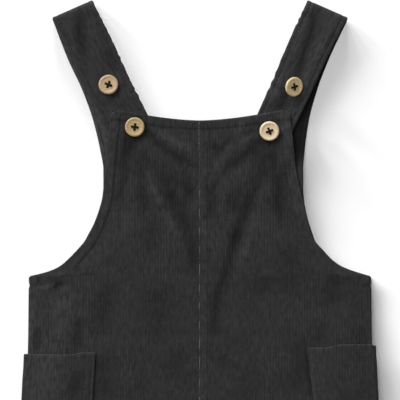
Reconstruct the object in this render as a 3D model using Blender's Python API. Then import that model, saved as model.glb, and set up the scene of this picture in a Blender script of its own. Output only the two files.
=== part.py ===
"""Baby bib overalls in ribbed cotton cloth, laid flat on their back with the front up.

The garment lies on the ground plane, with +Z up and +Y towards its shoulders. Places are worked out
in millimetres, as a distance across from the centre seam and a distance down from the shoulder folds.
SIDES gives the sign of each half: the left half is the one at -X. Each piece of cloth is a grid of
points with one wall's thickness on it, and pieces keep a small gap where a seam would join them.
"""

import math
from collections import namedtuple

import bmesh
import bpy
import numpy as np
from mathutils import Matrix, Vector

MM = 0.001
SIDES = {"left": -1, "right": 1}

# Driving sizes, in millimetres
LENGTH = 620.0          # shoulder folds to leg hems
CLOTH = 1.3             # wall of a panel
STRAP_CLOTH = 2.0       # wall of a strap, which is two layers sewn together
GAP = 0.3               # left open at a seam and between layers
UNDERARM_DOWN = 241.0
CROTCH_DOWN = 425.0
BACK_TOP_DOWN = 168.0   # top of the back panels, where the straps are sewn on
BACK_SCOOP = 10.0       # how far the back neckline dips at the centre
BIB_TOP_DOWN = 96.0     # bib corners
BIB_DIP = 8.8           # how far the bib's top edge sags at the centre
POCKET_TALL = 104.0
LOFT = 2.4              # how far the front stands off the back in the middle of the body
MOST_LIFT = 3.6         # the front never stands further than this off what is under it
BIB_SPAN_LIFT = 1.0     # lift of the bib where it spans from strap to strap
STRAP_HALF_WIDTH = 18.0
STRAP_END_DOWN = 162.0

# How gradually one shape passes into the next, in millimetres
DIP_WIDTH = 70.0        # half width of the bib's dip
DIP_POWER = 1.6         # how flat the dip is in its middle
SCOOP_WIDTH = 50.0      # half width of the back neckline's scoop
TOP_FADE = 45.0         # depth over which rows stop following a curved top edge
RAMP = 12.0             # length over which a panel climbs onto what is under it
RAMP_LEAD = 14.0        # how far before that the climb starts
STRAP_ROOT_CLEAR = 12.0     # the strap's root counts as under the front for this far below it
STRAP_ROOT_FADE = 22.0
BESIDE_STRAP_CLEAR = 6.0    # the bib stays up for this far beside a strap
BESIDE_STRAP_FADE = 14.0
SPAN_FADE_ACROSS = 20.0
SPAN_END_DOWN = 200.0
SPAN_FADE_DOWN = 90.0
LOFT_TOP_DOWN = 130.0       # the fullness of the body starts here
LOFT_FADE_DOWN = 90.0
LOFT_FADE_SIDE = 34.0
LOFT_FADE_INSEAM = 30.0
LEG_SPLIT_FADE = 60.0       # the fullness parts into two legs over this depth
FOLD_FADE = 18.0            # a fold fades out over this length past its ends
FOLD_FADE_SHARE = 0.6       # share of that fade that lies beyond its ends
FOLD_EDGE_FADE = 16.0       # folds fade out over this width at the side edges

# Half widths of the front panels, from the centre seam to the edge
Edge = namedtuple("Edge", "down left right")
FRONT_EDGE = [
    Edge(96, 71.0, 74.0),       # bib corners, the left one rounder
    Edge(98, 76.0, 78.0),
    Edge(101, 77.6, 78.8),
    Edge(109, 78.4, 79.3),
    Edge(122, 80.0, 80.8),
    Edge(152, 83.0, 84.3),
    Edge(174, 85.4, 89.6),
    Edge(191, 90.5, 93.2),
    Edge(209, 99.3, 99.3),      # armhole curve
    Edge(218, 106.6, 106.6),
    Edge(226, 114.8, 114.8),
    Edge(232, 123.6, 123.6),
    Edge(237, 136.0, 136.0),
    Edge(241, 149.0, 149.0),    # underarm corner
    Edge(300, 149.6, 149.6),
    Edge(350, 152.0, 152.0),
    Edge(425, 154.0, 154.0),
    Edge(620, 150.0, 150.0),    # leg hem
]
# Half widths of the back panels above the place where the two edges run together
BACK_EDGE = [
    Edge(168, 84.9, 89.2),
    Edge(174, 85.6, 89.8),
    Edge(191, 90.5, 93.2),
    Edge(209, 99.3, 99.3),
]
# Inner edges of the legs
Inseam = namedtuple("Inseam", "down across")
INSEAM = [
    Inseam(425, 0.15),
    Inseam(430, 5.0),
    Inseam(440, 8.5),
    Inseam(480, 12.0),
    Inseam(620, 20.0),
]

# Each pocket lies over the side seam. Its inner edge leans outwards on the way down.
Pocket = namedtuple("Pocket", "down top_across bottom_across")
POCKETS = {
    "left": Pocket(308.0, 90.5, 97.5),
    "right": Pocket(302.0, 93.0, 106.0),
}
POCKET_FLOAT = 0.9          # how far a pocket's mouth stands off the panel
POCKET_LINE_ABOVE = 0.61    # the same line as a share of the half width, higher up the panel
POCKET_COLUMN = 7           # the column of a panel's points that follows the pocket's inner edge

# The strap's cross sections. Each has its outer and inner end, and its height off the ground.
Section = namedtuple("Section", "outer_across outer_down inner_across inner_down under")
STRAP_BACK_RUN = {
    "left": [
        Section(84.9, 167.7, 46.0, 167.7, 0.0),
        Section(84.6, 148.0, 45.6, 146.0, 0.0),
        Section(86.6, 130.0, 46.8, 125.0, 0.0),
        Section(92.2, 104.4, 52.0, 98.0, 0.0),
        Section(101.8, 78.3, 61.5, 66.0, 0.0),
        Section(114.0, 52.2, 75.0, 38.0, 0.0),
        Section(127.6, 19.0, 92.2, 3.4, 0.0),
    ],
    "right": [
        Section(89.2, 167.7, 49.0, 167.7, 0.0),
        Section(88.8, 148.0, 48.6, 146.0, 0.0),
        Section(90.2, 130.0, 49.2, 125.0, 0.0),
        Section(94.0, 104.4, 53.0, 98.0, 0.0),
        Section(101.0, 78.3, 61.0, 66.0, 0.0),
        Section(111.0, 52.2, 73.5, 38.0, 0.0),
        Section(127.6, 19.0, 92.2, 3.4, 0.0),
    ],
}
STRAP_FRONT_RUN = {
    "left": [
        Section(126.6, 18.6, 92.2, 3.4, 5.4),
        Section(111.4, 50.0, 76.8, 36.0, 4.0),
        Section(95.6, 83.0, 61.5, 68.0, 3.4),
        Section(86.0, 103.5, 52.0, 88.0, 2.8),
        Section(75.6, 125.0, 41.8, 110.0, 2.4),
        Section(57.6, 162.0, 25.0, 147.5, 2.4),
    ],
    "right": [
        Section(126.6, 18.6, 92.2, 3.4, 5.4),
        Section(110.6, 50.0, 76.4, 36.0, 4.0),
        Section(95.8, 82.7, 61.8, 68.0, 3.4),
        Section(85.6, 103.5, 52.4, 88.0, 2.8),
        Section(75.6, 125.0, 42.6, 110.0, 2.4),
        Section(57.6, 162.0, 25.0, 147.5, 2.4),
    ],
}
# Centre line of a strap's front run under the bib
StrapCentre = namedtuple("StrapCentre", "down across")
STRAP_CENTRE = [
    StrapCentre(90.0, 71.5),
    StrapCentre(112.0, 61.0),
    StrapCentre(155.0, 41.0),
]
STRAP_ROWS_PER_SECTION = 2
STRAP_COLUMNS = 5
FOLD_STEPS = 6          # facets round the shoulder fold

# The largest folds of the front. A negative depth is a trough, a positive one a ridge.
Fold = namedtuple("Fold", "start_across start_down end_across end_down half_width depth")
FRONT_FOLDS = [
    Fold(-46, 116, -6, 142, 7.8, -1.6),
    Fold(-36, 148, -4, 214, 8.4, -1.5),
    Fold(-50, 158, -26, 250, 10.8, 0.7),
    Fold(56, 120, 10, 152, 7.8, -1.6),
    Fold(54, 148, 24, 226, 9.0, -1.9),
    Fold(24, 226, 12, 288, 9.0, -1.3),
    Fold(66, 156, 70, 226, 9.0, -1.0),
    Fold(48, 210, 60, 280, 12.0, 0.8),
    Fold(-92, 270, -70, 330, 13.2, -0.8),
    Fold(90, 262, 112, 300, 12.0, -0.7),
]

# Buttons: place of the centre, lean about the garment's length and width, and turn in the face
Button = namedtuple("Button", "node side across down under lean_x lean_y turn")
BUTTONS = [
    Button("button_upper_left", "left", 79.5, 73.8, 6.1, 0, 0, 23),
    Button("button_upper_right", "right", 80.8, 75.6, 9.8, 11, 29, 62),
    Button("button_lower_left", "left", 56.6, 110.7, 6.8, 0, 0, 38),
    Button("button_lower_right", "right", 60.2, 114.0, 8.0, 9, 0, 66),
]
BUTTON_RADIUS = 8.5
BUTTON_THICK = 2.8
BUTTON_FACETS = 28
THREAD_HOLE_RADIUS = 0.95
THREAD_HOLE_OFFSET = 2.3
THREAD_HOLE_FACETS = 8
THREAD_HOLE_ANGLES = (45, 135, 225, 315)
# Half profile of a button: a raised rim round a shallow dish
Ring = namedtuple("Ring", "radius height")
BUTTON_PROFILE = [
    Ring(BUTTON_RADIUS - 1.3, 0.0),
    Ring(BUTTON_RADIUS, 0.9),
    Ring(BUTTON_RADIUS, 2.0),
    Ring(BUTTON_RADIUS - 0.9, BUTTON_THICK),
    Ring(BUTTON_RADIUS - 1.9, BUTTON_THICK - 0.1),
    Ring(BUTTON_RADIUS - 2.9, BUTTON_THICK - 0.7),
]
THREAD_HOLE_PROFILE = [
    Ring(THREAD_HOLE_RADIUS, -1.0),
    Ring(THREAD_HOLE_RADIUS, BUTTON_THICK + 1.0),
]


def clear_scene():
    """Remove every object that the file opened with."""
    for obj in list(bpy.data.objects):
        bpy.data.objects.remove(obj, do_unlink=True)


def make_material(name, colour, roughness):
    """One Principled material, with no metal in it."""
    material = bpy.data.materials.new(name)
    material.use_nodes = True
    shader = material.node_tree.nodes["Principled BSDF"]
    shader.inputs["Base Color"].default_value = (*colour, 1.0)
    shader.inputs["Roughness"].default_value = roughness
    shader.inputs["Metallic"].default_value = 0.0
    return material


def smooth_curve(knots, values, at):
    """Cubic curve through the knots that never overshoots them (harmonic-mean slopes)."""
    knots = np.asarray(knots, float)
    values = np.asarray(values, float)
    steps = np.diff(knots)
    rise = np.diff(values) / steps
    product = rise[:-1] * rise[1:]
    total = np.where(product > 0, rise[:-1] + rise[1:], 1.0)
    inner = np.where(product > 0, 2.0 * product / total, 0.0)
    slope = np.concatenate(([rise[0]], inner, [rise[-1]]))
    cell = np.clip(np.searchsorted(knots, at, side="right") - 1, 0, len(steps) - 1)
    step = steps[cell]
    t = np.clip((at - knots[cell]) / step, 0.0, 1.0)
    return (values[cell] * (1 + 2 * t) * (1 - t) ** 2
            + values[cell + 1] * t * t * (3 - 2 * t)
            + slope[cell] * step * t * (1 - t) ** 2
            - slope[cell + 1] * step * t * t * (1 - t))


def column(table, name):
    """One named column of a table, as an array."""
    return np.array([getattr(row, name) for row in table], float)


def ease(share):
    """Smooth step from 0 to 1, flat at both ends."""
    share = np.clip(share, 0.0, 1.0)
    return share * share * (3 - 2 * share)


def segments(levels, counts):
    """Values from the first level to the last, with a count of equal steps between neighbours."""
    runs = [np.linspace(a, b, n + 1)[:-1] for a, b, n in zip(levels, levels[1:], counts)]
    return np.concatenate(runs + [[levels[-1]]])


def row_downs(side):
    """Distances down at which a panel has a row of points: close on curves, wide on straights."""
    top = POCKETS[side].down
    bottom = top + POCKET_TALL
    bib = segments([BIB_TOP_DOWN, 98, 101, 109, 165, 209], [1, 1, 1, 4, 4])
    armhole = segments([218, 226, 232, 237, UNDERARM_DOWN], [1, 1, 1, 1])
    body = segments([UNDERARM_DOWN, top, bottom, CROTCH_DOWN], [5, 7, 1])
    leg = segments([430, 440, 480, LENGTH], [1, 3, 8])
    return np.concatenate((bib, armhole[:-1], body, leg))


def outer_edge(side, down):
    """Half width of the front panel on one side."""
    return smooth_curve(column(FRONT_EDGE, "down"), column(FRONT_EDGE, side), down)


def back_outer_edge(side, down):
    """Half width of the back panel, which shows a little past the front beside the bib."""
    beside_bib = smooth_curve(column(BACK_EDGE, "down"), column(BACK_EDGE, side), down)
    return np.where(down < BACK_EDGE[-1].down, beside_bib, outer_edge(side, down))


def inner_edge(down):
    """Centre seam down to the crotch, then the inside of the leg."""
    leg = smooth_curve(column(INSEAM, "down"), column(INSEAM, "across"), down)
    return np.where(down > CROTCH_DOWN, leg, GAP / 2)


def pocket_line(side, down):
    """Where the pocket's inner edge runs, carried on up and down the panel."""
    pocket = POCKETS[side]
    share_up = (pocket.down - down) / (pocket.down - UNDERARM_DOWN)
    above = POCKET_LINE_ABOVE * outer_edge(side, down)
    slant = (pocket.bottom_across - pocket.top_across) / POCKET_TALL
    beside = pocket.top_across + slant * (down - pocket.down)
    return beside + (above - beside) * ease(share_up)


def panel_points(side, downs, outer):
    """Across and down of a panel's grid. One column of points follows the pocket's inner edge."""
    inner = inner_edge(downs)
    line = pocket_line(side, downs)
    outer_half = outer(side, downs)
    near = np.linspace(0.0, 1.0, POCKET_COLUMN + 1)
    far = np.array([0.25, 0.5, 0.75, 0.92, 1.0])
    inside = inner[:, None] + (line - inner)[:, None] * near
    outside = line[:, None] + (outer_half - line)[:, None] * far
    across = np.hstack((inside, outside))
    return across, np.repeat(downs[:, None], across.shape[1], axis=1)


def sag_top(across, down):
    """Lower the bib's top edge towards the centre; the rows below follow less and less."""
    dip = BIB_DIP * (1 - np.clip(across / DIP_WIDTH, 0, 1) ** DIP_POWER)
    return down + dip * (1 - ease((down - BIB_TOP_DOWN) / TOP_FADE))


def scoop_back(across, down):
    """Lower the back neckline between the straps."""
    dip = BACK_SCOOP * (1 - ease(across / SCOOP_WIDTH))
    return down + dip * (1 - ease((down - BACK_TOP_DOWN) / TOP_FADE))


def climb(past):
    """Climb from 0 to 1 that ends just before the place, from a signed distance past it."""
    return ease((past + RAMP_LEAD) / RAMP)


def back_under(side, across, down):
    """Underside of the back: on the ground, and lifted where the pocket's back leaf is below it."""
    pocket = POCKETS[side]
    inside_line = climb(across - pocket_line(side, down))
    below_top = climb(down - pocket.down)
    above_bottom = climb(pocket.down + POCKET_TALL - down)
    return (CLOTH + GAP) * inside_line * below_top * above_bottom


def top_of_layer_below(side, across, down):
    """Top of what lies under the front: the straps' back runs down to the back panel, then the back."""
    back_top = back_under(side, across, down) + CLOTH
    above_root = BACK_TOP_DOWN + STRAP_ROOT_CLEAR + STRAP_ROOT_FADE - down
    strap_share = ease(above_root / STRAP_ROOT_FADE)
    return back_top + (STRAP_CLOTH - CLOTH) * strap_share


def strap_lift(across, down):
    """How far the strap's front run lifts the bib, and how far the bib is lifted between the straps."""
    centre = smooth_curve(column(STRAP_CENTRE, "down"), column(STRAP_CENTRE, "across"), down)
    beside = np.abs(across - centre) - STRAP_HALF_WIDTH
    beside_share = ease((BESIDE_STRAP_CLEAR + BESIDE_STRAP_FADE - beside) / BESIDE_STRAP_FADE)
    over = beside_share * ease((STRAP_END_DOWN + STRAP_ROOT_FADE + 2.0 - down) / STRAP_ROOT_FADE)
    span = ease((centre - across) / SPAN_FADE_ACROSS) * ease((SPAN_END_DOWN - down) / SPAN_FADE_DOWN)
    return np.maximum((STRAP_CLOTH + 2 * GAP) * over, BIB_SPAN_LIFT * span)


def body_loft(side, across, down):
    """Soft fullness of the front: none at the seams, most in the middle."""
    half = outer_edge(side, down)
    from_side = ease((half - across) / LOFT_FADE_SIDE)
    leg_share = ease(1 + (down - CROTCH_DOWN) / LEG_SPLIT_FADE)
    from_inseam = ease((across - inner_edge(down)) / LOFT_FADE_INSEAM)
    open_inner = 1 - leg_share * (1 - from_inseam)
    below_bib = ease((down - LOFT_TOP_DOWN) / LOFT_FADE_DOWN)
    return LOFT * from_side * open_inner * below_bib


def fold_height(sign, across, down):
    """Sum of the folds. Each is a bell across its line, fading out at both ends."""
    total = np.zeros_like(across)
    x = sign * across
    for fold in FRONT_FOLDS:
        run = np.array([fold.end_across - fold.start_across, fold.end_down - fold.start_down])
        length = np.hypot(*run)
        along = ((x - fold.start_across) * run[0] + (down - fold.start_down) * run[1]) / length
        aside = ((x - fold.start_across) * run[1] - (down - fold.start_down) * run[0]) / length
        fade_in = ease(along / FOLD_FADE + FOLD_FADE_SHARE)
        fade_out = ease((length - along) / FOLD_FADE + FOLD_FADE_SHARE)
        total = total + fold.depth * fade_in * fade_out * np.exp(-(aside / fold.half_width) ** 2)
    return total


def front_under(side, across, down):
    """Underside of the front, never closer than a gap to the layer below or to the strap's end."""
    edge_fade = ease((outer_edge(side, down) - across) / FOLD_EDGE_FADE)
    folds = edge_fade * fold_height(SIDES[side], across, down)
    lift = strap_lift(across, down)
    on_strap = lift * ease((STRAP_END_DOWN + BESIDE_STRAP_FADE + 2.0 - down) / BESIDE_STRAP_FADE)
    soft = np.clip(lift + body_loft(side, across, down) + folds, on_strap, MOST_LIFT)
    return top_of_layer_below(side, across, down) + GAP + soft


def to_space(side, across, down, height):
    """Points in millimetres in the garment's own space."""
    return np.stack((SIDES[side] * across, LENGTH / 2 - down, height), axis=-1)


def grid_triangles(rows, columns):
    """Triangles over a grid of points, two to a cell."""
    index = np.arange(rows * columns).reshape(rows, columns)
    a = index[:-1, :-1].ravel()
    b = index[:-1, 1:].ravel()
    c = index[1:, 1:].ravel()
    d = index[1:, :-1].ravel()
    return np.concatenate((np.stack((a, b, c), axis=1), np.stack((a, c, d), axis=1)))


def rim_of(rows, columns):
    """Point numbers round the edge of a grid, in order."""
    index = np.arange(rows * columns).reshape(rows, columns)
    return np.concatenate((index[0, :-1], index[:-1, -1], index[-1, :0:-1], index[:0:-1, 0]))


def make_wall(name, lower, upper, material):
    """Closed solid between two grids of points of the same shape."""
    rows, columns = lower.shape[:2]
    count = rows * columns
    skin = grid_triangles(rows, columns)
    rim = rim_of(rows, columns)
    following = np.roll(rim, -1)
    side_a = np.stack((rim, following, following + count), axis=1)
    side_b = np.stack((rim, following + count, rim + count), axis=1)
    faces = np.concatenate((skin, skin[:, ::-1] + count, side_a, side_b))
    points = np.concatenate((lower.reshape(-1, 3), upper.reshape(-1, 3))) * MM
    mesh = bpy.data.meshes.new(name)
    mesh.from_pydata(points.tolist(), [], faces.tolist())
    tidy = bmesh.new()
    tidy.from_mesh(mesh)
    bmesh.ops.recalc_face_normals(tidy, faces=tidy.faces)
    tidy.to_mesh(mesh)
    tidy.free()
    mesh.materials.append(material)
    obj = bpy.data.objects.new(name, mesh)
    bpy.context.collection.objects.link(obj)
    return obj


def thicken(middle, thickness):
    """The two faces of a wall, either side of its middle grid and square to it, not below ground."""
    down_rows = np.gradient(middle, axis=0)
    along_columns = np.gradient(middle, axis=1)
    normal = np.cross(down_rows, along_columns)
    normal /= np.linalg.norm(normal, axis=-1, keepdims=True)
    faces = middle - normal * thickness / 2, middle + normal * thickness / 2
    for face in faces:
        face[:, :, 2] = np.maximum(face[:, :, 2], 0.0)
    return faces


def make_front(side, material):
    """One front half: bib, body and leg in one piece."""
    across, down = panel_points(side, row_downs(side), outer_edge)
    under = front_under(side, across, down)
    placed = sag_top(across, down)
    lower = to_space(side, across, placed, under)
    upper = to_space(side, across, placed, under + CLOTH)
    return make_wall(f"front_{side}", lower, upper, material)


def make_back(side, material):
    """One back half, from its neckline to the leg hem."""
    downs = row_downs(side)
    downs = np.concatenate(([BACK_TOP_DOWN], downs[downs > BACK_TOP_DOWN]))
    across, down = panel_points(side, downs, back_outer_edge)
    under = back_under(side, across, down)
    placed = scoop_back(across, down)
    lower = to_space(side, across, placed, under)
    upper = to_space(side, across, placed, under + CLOTH)
    return make_wall(f"back_{side}", lower, upper, material)


def run_middle(side, sections):
    """Middle grid of a flat run of strap, with extra rows eased in between its sections."""
    knots = np.arange(len(sections), dtype=float)
    at = np.linspace(0, len(sections) - 1, (len(sections) - 1) * STRAP_ROWS_PER_SECTION + 1)
    eased = {name: smooth_curve(knots, column(sections, name), at) for name in Section._fields}
    share = np.linspace(0.0, 1.0, STRAP_COLUMNS + 1)
    outer_across = eased["outer_across"][:, None]
    outer_down = eased["outer_down"][:, None]
    across = outer_across + (eased["inner_across"][:, None] - outer_across) * share
    down = outer_down + (eased["inner_down"][:, None] - outer_down) * share
    height = np.repeat(eased["under"][:, None] + STRAP_CLOTH / 2, len(share), axis=1)
    return to_space(side, across, down, height)


def fold_middle(first, last):
    """Half turn of cloth that joins two rows of points lying one above the other."""
    centre = (first + last) / 2
    radius = np.linalg.norm(last - first, axis=-1, keepdims=True) / 2
    up = (last - first) / (2 * radius)
    edge = first[-1] - first[0]
    outward = np.cross(edge / np.linalg.norm(edge), np.array([0.0, 0.0, 1.0]))
    outward *= np.sign(outward[1])
    angles = np.linspace(-math.pi / 2, math.pi / 2, FOLD_STEPS + 1)[1:-1, None, None]
    return centre + radius * (np.cos(angles) * outward + np.sin(angles) * up)


def make_strap(side, material):
    """A strap from the back panel up over the shoulder fold and down to its end under the bib."""
    back = run_middle(side, STRAP_BACK_RUN[side])
    front = run_middle(side, STRAP_FRONT_RUN[side])
    middle = np.concatenate((back, fold_middle(back[-1], front[0]), front))
    return make_wall(f"strap_{side}", *thicken(middle, STRAP_CLOTH), material)


def make_pocket(side, material):
    """Patch pocket: the panel's own points moved out, round the side seam and under the back."""
    pocket = POCKETS[side]
    downs = row_downs(side)
    rows = (downs > pocket.down - 1) & (downs < pocket.down + POCKET_TALL + 1)
    across, down = panel_points(side, downs[rows], outer_edge)
    across = across[:, POCKET_COLUMN:]
    down = down[:, POCKET_COLUMN:]
    mouth_share = ease((pocket.down + POCKET_TALL - down) / 40.0)
    swell = POCKET_FLOAT * mouth_share * np.sin(math.pi * np.linspace(0, 1, across.shape[1]))
    height = front_under(side, across, down) + CLOTH + GAP + CLOTH / 2 + swell
    front_leaf = to_space(side, across, down, height)
    back_leaf = to_space(side, across, down, np.full_like(across, CLOTH / 2))
    first = back_leaf[:, -1]
    last = front_leaf[:, -1]
    centre = ((first + last) / 2)[:, None]
    radius = ((last - first)[:, 2] / 2)[:, None]
    angles = np.linspace(-math.pi / 2, math.pi / 2, FOLD_STEPS)[None, 1:-1]
    turn = np.repeat(centre, angles.shape[1], axis=1)
    turn[:, :, 0] += SIDES[side] * radius * np.cos(angles)
    turn[:, :, 2] += radius * np.sin(angles)
    middle = np.concatenate((back_leaf, turn, front_leaf[:, ::-1]), axis=1)
    return make_wall(f"pocket_{side}", *thicken(middle, CLOTH), material)


def lathe(name, rings, facets):
    """Closed turned mesh from a half profile, with flat ends."""
    angles = np.linspace(0, 2 * math.pi, facets, endpoint=False)
    radius = column(rings, "radius")[:, None] * MM
    height = column(rings, "height")[:, None] * MM
    points = np.stack((radius * np.cos(angles), radius * np.sin(angles),
                       np.broadcast_to(height, (len(rings), facets))), axis=-1)
    index = np.arange(len(rings) * facets).reshape(len(rings), facets)
    nxt = np.roll(index, -1, axis=1)
    quads = np.stack((index[:-1], nxt[:-1], nxt[1:], index[1:]), axis=-1).reshape(-1, 4)
    faces = quads.tolist() + [index[0, ::-1].tolist(), index[-1].tolist()]
    mesh = bpy.data.meshes.new(name)
    mesh.from_pydata(points.reshape(-1, 3).tolist(), [], faces)
    return mesh


def make_button_mesh(material):
    """Turned disc with four thread holes cut through it."""
    body = bpy.data.objects.new("button_blank", lathe("button_blank", BUTTON_PROFILE, BUTTON_FACETS))
    bpy.context.collection.objects.link(body)
    peg = lathe("thread_hole", THREAD_HOLE_PROFILE, THREAD_HOLE_FACETS)
    for degrees in THREAD_HOLE_ANGLES:
        cutter = bpy.data.objects.new("thread_hole", peg)
        turn = Matrix.Rotation(math.radians(degrees), 3, "Z")
        cutter.location = turn @ Vector((THREAD_HOLE_OFFSET * MM, 0, 0))
        cutter.hide_render = True
        cutter.display_type = "WIRE"
        bpy.context.collection.objects.link(cutter)
        cut = body.modifiers.new("thread_hole", "BOOLEAN")
        cut.operation = "DIFFERENCE"
        cut.object = cutter
    bpy.context.view_layer.update()
    evaluated = body.evaluated_get(bpy.context.evaluated_depsgraph_get())
    mesh = bpy.data.meshes.new_from_object(evaluated)
    mesh.materials.clear()
    mesh.materials.append(material)
    for polygon in mesh.polygons:
        polygon.material_index = 0
    bpy.data.objects.remove(body, do_unlink=True)
    return mesh


def make_button(row, mesh):
    """One button laid on the cloth below it."""
    obj = bpy.data.objects.new(row.node, mesh)
    place = to_space(row.side, row.across, row.down, row.under)
    obj.location = Vector(place) * MM
    lean_y = Matrix.Rotation(math.radians(row.lean_y), 3, "Y")
    lean_x = Matrix.Rotation(math.radians(row.lean_x), 3, "X")
    turn = Matrix.Rotation(math.radians(row.turn), 3, "Z")
    obj.rotation_euler = (lean_y @ lean_x @ turn).to_euler()
    bpy.context.collection.objects.link(obj)
    return obj


def build():
    """Make every piece, each in its own object."""
    clear_scene()
    cloth = make_material("ribbed_cloth", (0.030, 0.031, 0.034), 0.9)
    strap_cloth = make_material("strap_cloth", (0.034, 0.035, 0.038), 0.9)
    pocket_cloth = make_material("pocket_cloth", (0.027, 0.028, 0.031), 0.9)
    button = make_material("pale_wood", (0.62, 0.50, 0.30), 0.5)
    for side in SIDES:
        make_back(side, cloth)
        make_front(side, cloth)
        make_strap(side, strap_cloth)
        make_pocket(side, pocket_cloth)
    mesh = make_button_mesh(button)
    for row in BUTTONS:
        make_button(row, mesh)


build()
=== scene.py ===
# %% [markdown]
# # Baby bib overalls in ribbed corduroy, laid flat on their back
# The garment is sewn from two front halves, two back halves, two straps and two patch pockets, and
# four wooden buttons close it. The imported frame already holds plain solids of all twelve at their
# real places. This file dresses them: cloth with real ribs and creases, topstitching and turned buttons.

# %% Load the frame that everything is fitted to
import math
from collections import namedtuple

import bpy
import numpy as np
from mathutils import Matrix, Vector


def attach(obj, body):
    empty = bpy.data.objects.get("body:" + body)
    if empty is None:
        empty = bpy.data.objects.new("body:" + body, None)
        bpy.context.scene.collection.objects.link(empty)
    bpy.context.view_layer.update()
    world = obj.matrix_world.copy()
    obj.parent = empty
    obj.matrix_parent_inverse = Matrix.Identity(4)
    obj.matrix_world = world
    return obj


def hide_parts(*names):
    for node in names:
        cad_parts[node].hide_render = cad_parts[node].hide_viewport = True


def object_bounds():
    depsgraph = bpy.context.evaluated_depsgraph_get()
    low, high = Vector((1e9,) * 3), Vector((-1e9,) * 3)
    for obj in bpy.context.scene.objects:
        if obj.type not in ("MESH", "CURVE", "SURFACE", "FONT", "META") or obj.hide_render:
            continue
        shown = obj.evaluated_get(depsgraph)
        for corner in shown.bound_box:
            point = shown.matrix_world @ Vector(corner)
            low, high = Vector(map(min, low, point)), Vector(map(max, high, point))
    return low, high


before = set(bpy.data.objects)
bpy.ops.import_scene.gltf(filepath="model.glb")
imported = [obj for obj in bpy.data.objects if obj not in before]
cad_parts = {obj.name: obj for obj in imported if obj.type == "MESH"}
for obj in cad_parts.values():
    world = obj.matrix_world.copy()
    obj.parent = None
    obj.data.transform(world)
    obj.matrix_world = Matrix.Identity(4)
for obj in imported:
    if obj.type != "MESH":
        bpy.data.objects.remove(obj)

MM = 0.001
SIDES = {"left": -1, "right": 1}
cad_low, cad_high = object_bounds()
SHOULDER = cad_high.y / MM       # the shoulder folds' place along Y, in millimetres
LEG_END = (cad_high.y - cad_low.y) / MM
print(f"{len(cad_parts)} CAD pieces, {LEG_END:.0f} mm from shoulder to hem")

# %% [markdown]
# ## Camera, floor and light
# The garment lies on a pale floor and is looked at straight down from far away with a long lens, so
# that nothing leans. The camera takes in the straps, the bib and the top of the pockets; the legs run
# out of the picture. A wide low sun from the upper left grazes the cloth, which is what makes ribs and
# creases readable on something nearly black, and a soft box fills it. The floor has lights of its own,
# lower still, which draw a long soft shadow out of cloth only a few millimetres high. The lowest is
# blocked by the flat panels only, as thick straps would throw too long a shadow in it.

# %% Camera
FRAME_WIDTH = 0.348
LOOK_HEIGHT = 0.003
CAMERA_AWAY = 2.0
SENSOR = 36.0
scene = bpy.context.scene
camera = bpy.data.objects.new("camera", bpy.data.cameras.new("camera"))
camera.data.sensor_width = SENSOR
camera.data.lens = SENSOR * CAMERA_AWAY / FRAME_WIDTH
camera.location = (0.0, cad_high.y - FRAME_WIDTH / 2, LOOK_HEIGHT + CAMERA_AWAY)
scene.collection.objects.link(camera)
scene.camera = camera
scene.view_settings.view_transform = "Standard"
print(f"lens {camera.data.lens:.0f} mm, looking down from {camera.location.z:.2f} m")

# %% Node helper for the materials, the floor and the sky


def node(tree, kind, settings=None, **inputs):
    """Add one shader node. Inputs are values, or another node's output socket to link."""
    made = tree.nodes.new(kind)
    for name, value in (settings or {}).items():
        setattr(made, name, value)
    for name, value in inputs.items():
        key = int(name[1:]) if name[0] == "_" and name[1:].isdigit() else name.replace("_", " ")
        if isinstance(value, bpy.types.NodeSocket):
            tree.links.new(value, made.inputs[key])
        else:
            made.inputs[key].default_value = value
    return made


def principled(name, **constants):
    """A material with one Principled shader. The constants go straight onto its sockets."""
    material = bpy.data.materials.new(name)
    material.use_nodes = True
    shader = material.node_tree.nodes["Principled BSDF"]
    for key, value in constants.items():
        shader.inputs[key.replace("_", " ")].default_value = value
    return material, material.node_tree, shader


# %% Floor, sky and key light
FLOOR_HALF = 6.0
Lamp = namedtuple("Lamp", "across ahead elevation spread strength")
GARMENT_KEY = Lamp(-0.58, 0.81, 30.0, 34.0, 3.55)       # grazes the cloth
GARMENT_FILL = Lamp(-0.50, 0.86, 62.0, 120.0, 1.15)     # a wide soft box over the table
PANEL_SHADOW = Lamp(-0.54, 0.84, 5.5, 7.0, 13.8)        # very low: only the panels block it
STRAP_SHADOW = Lamp(-0.46, 0.89, 12.0, 14.0, 1.3)       # a little higher: only the straps block it
WHOLE_SHADOW = Lamp(-0.46, 0.89, 8.3, 9.0, 9.9)         # everything blocks it
FAN = (-24.0, -8.0, 8.0, 24.0)      # turns of the lights that make a long low soft box
SKY_STRENGTH = 0.15

floor_mesh = bpy.data.meshes.new("floor")
floor_corners = np.array([(-1, -1, 0), (1, -1, 0), (1, 1, 0), (-1, 1, 0)]) * FLOOR_HALF
floor_mesh.from_pydata(floor_corners.tolist(), [], [(0, 1, 2, 3)])
floor = bpy.data.objects.new("floor", floor_mesh)
scene.collection.objects.link(floor)
floor_paint = principled(
    "floor_paint", Base_Color=(0.93, 0.93, 0.93, 1.0), Roughness=0.95, Specular_IOR_Level=0.0)[0]
floor_mesh.materials.append(floor_paint)

sky = bpy.data.worlds.new("sky")
sky.use_nodes = True
sky.node_tree.nodes["Background"].inputs["Color"].default_value = (1.0, 1.0, 1.0, 1.0)
sky.node_tree.nodes["Background"].inputs["Strength"].default_value = SKY_STRENGTH
scene.world = sky


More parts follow.
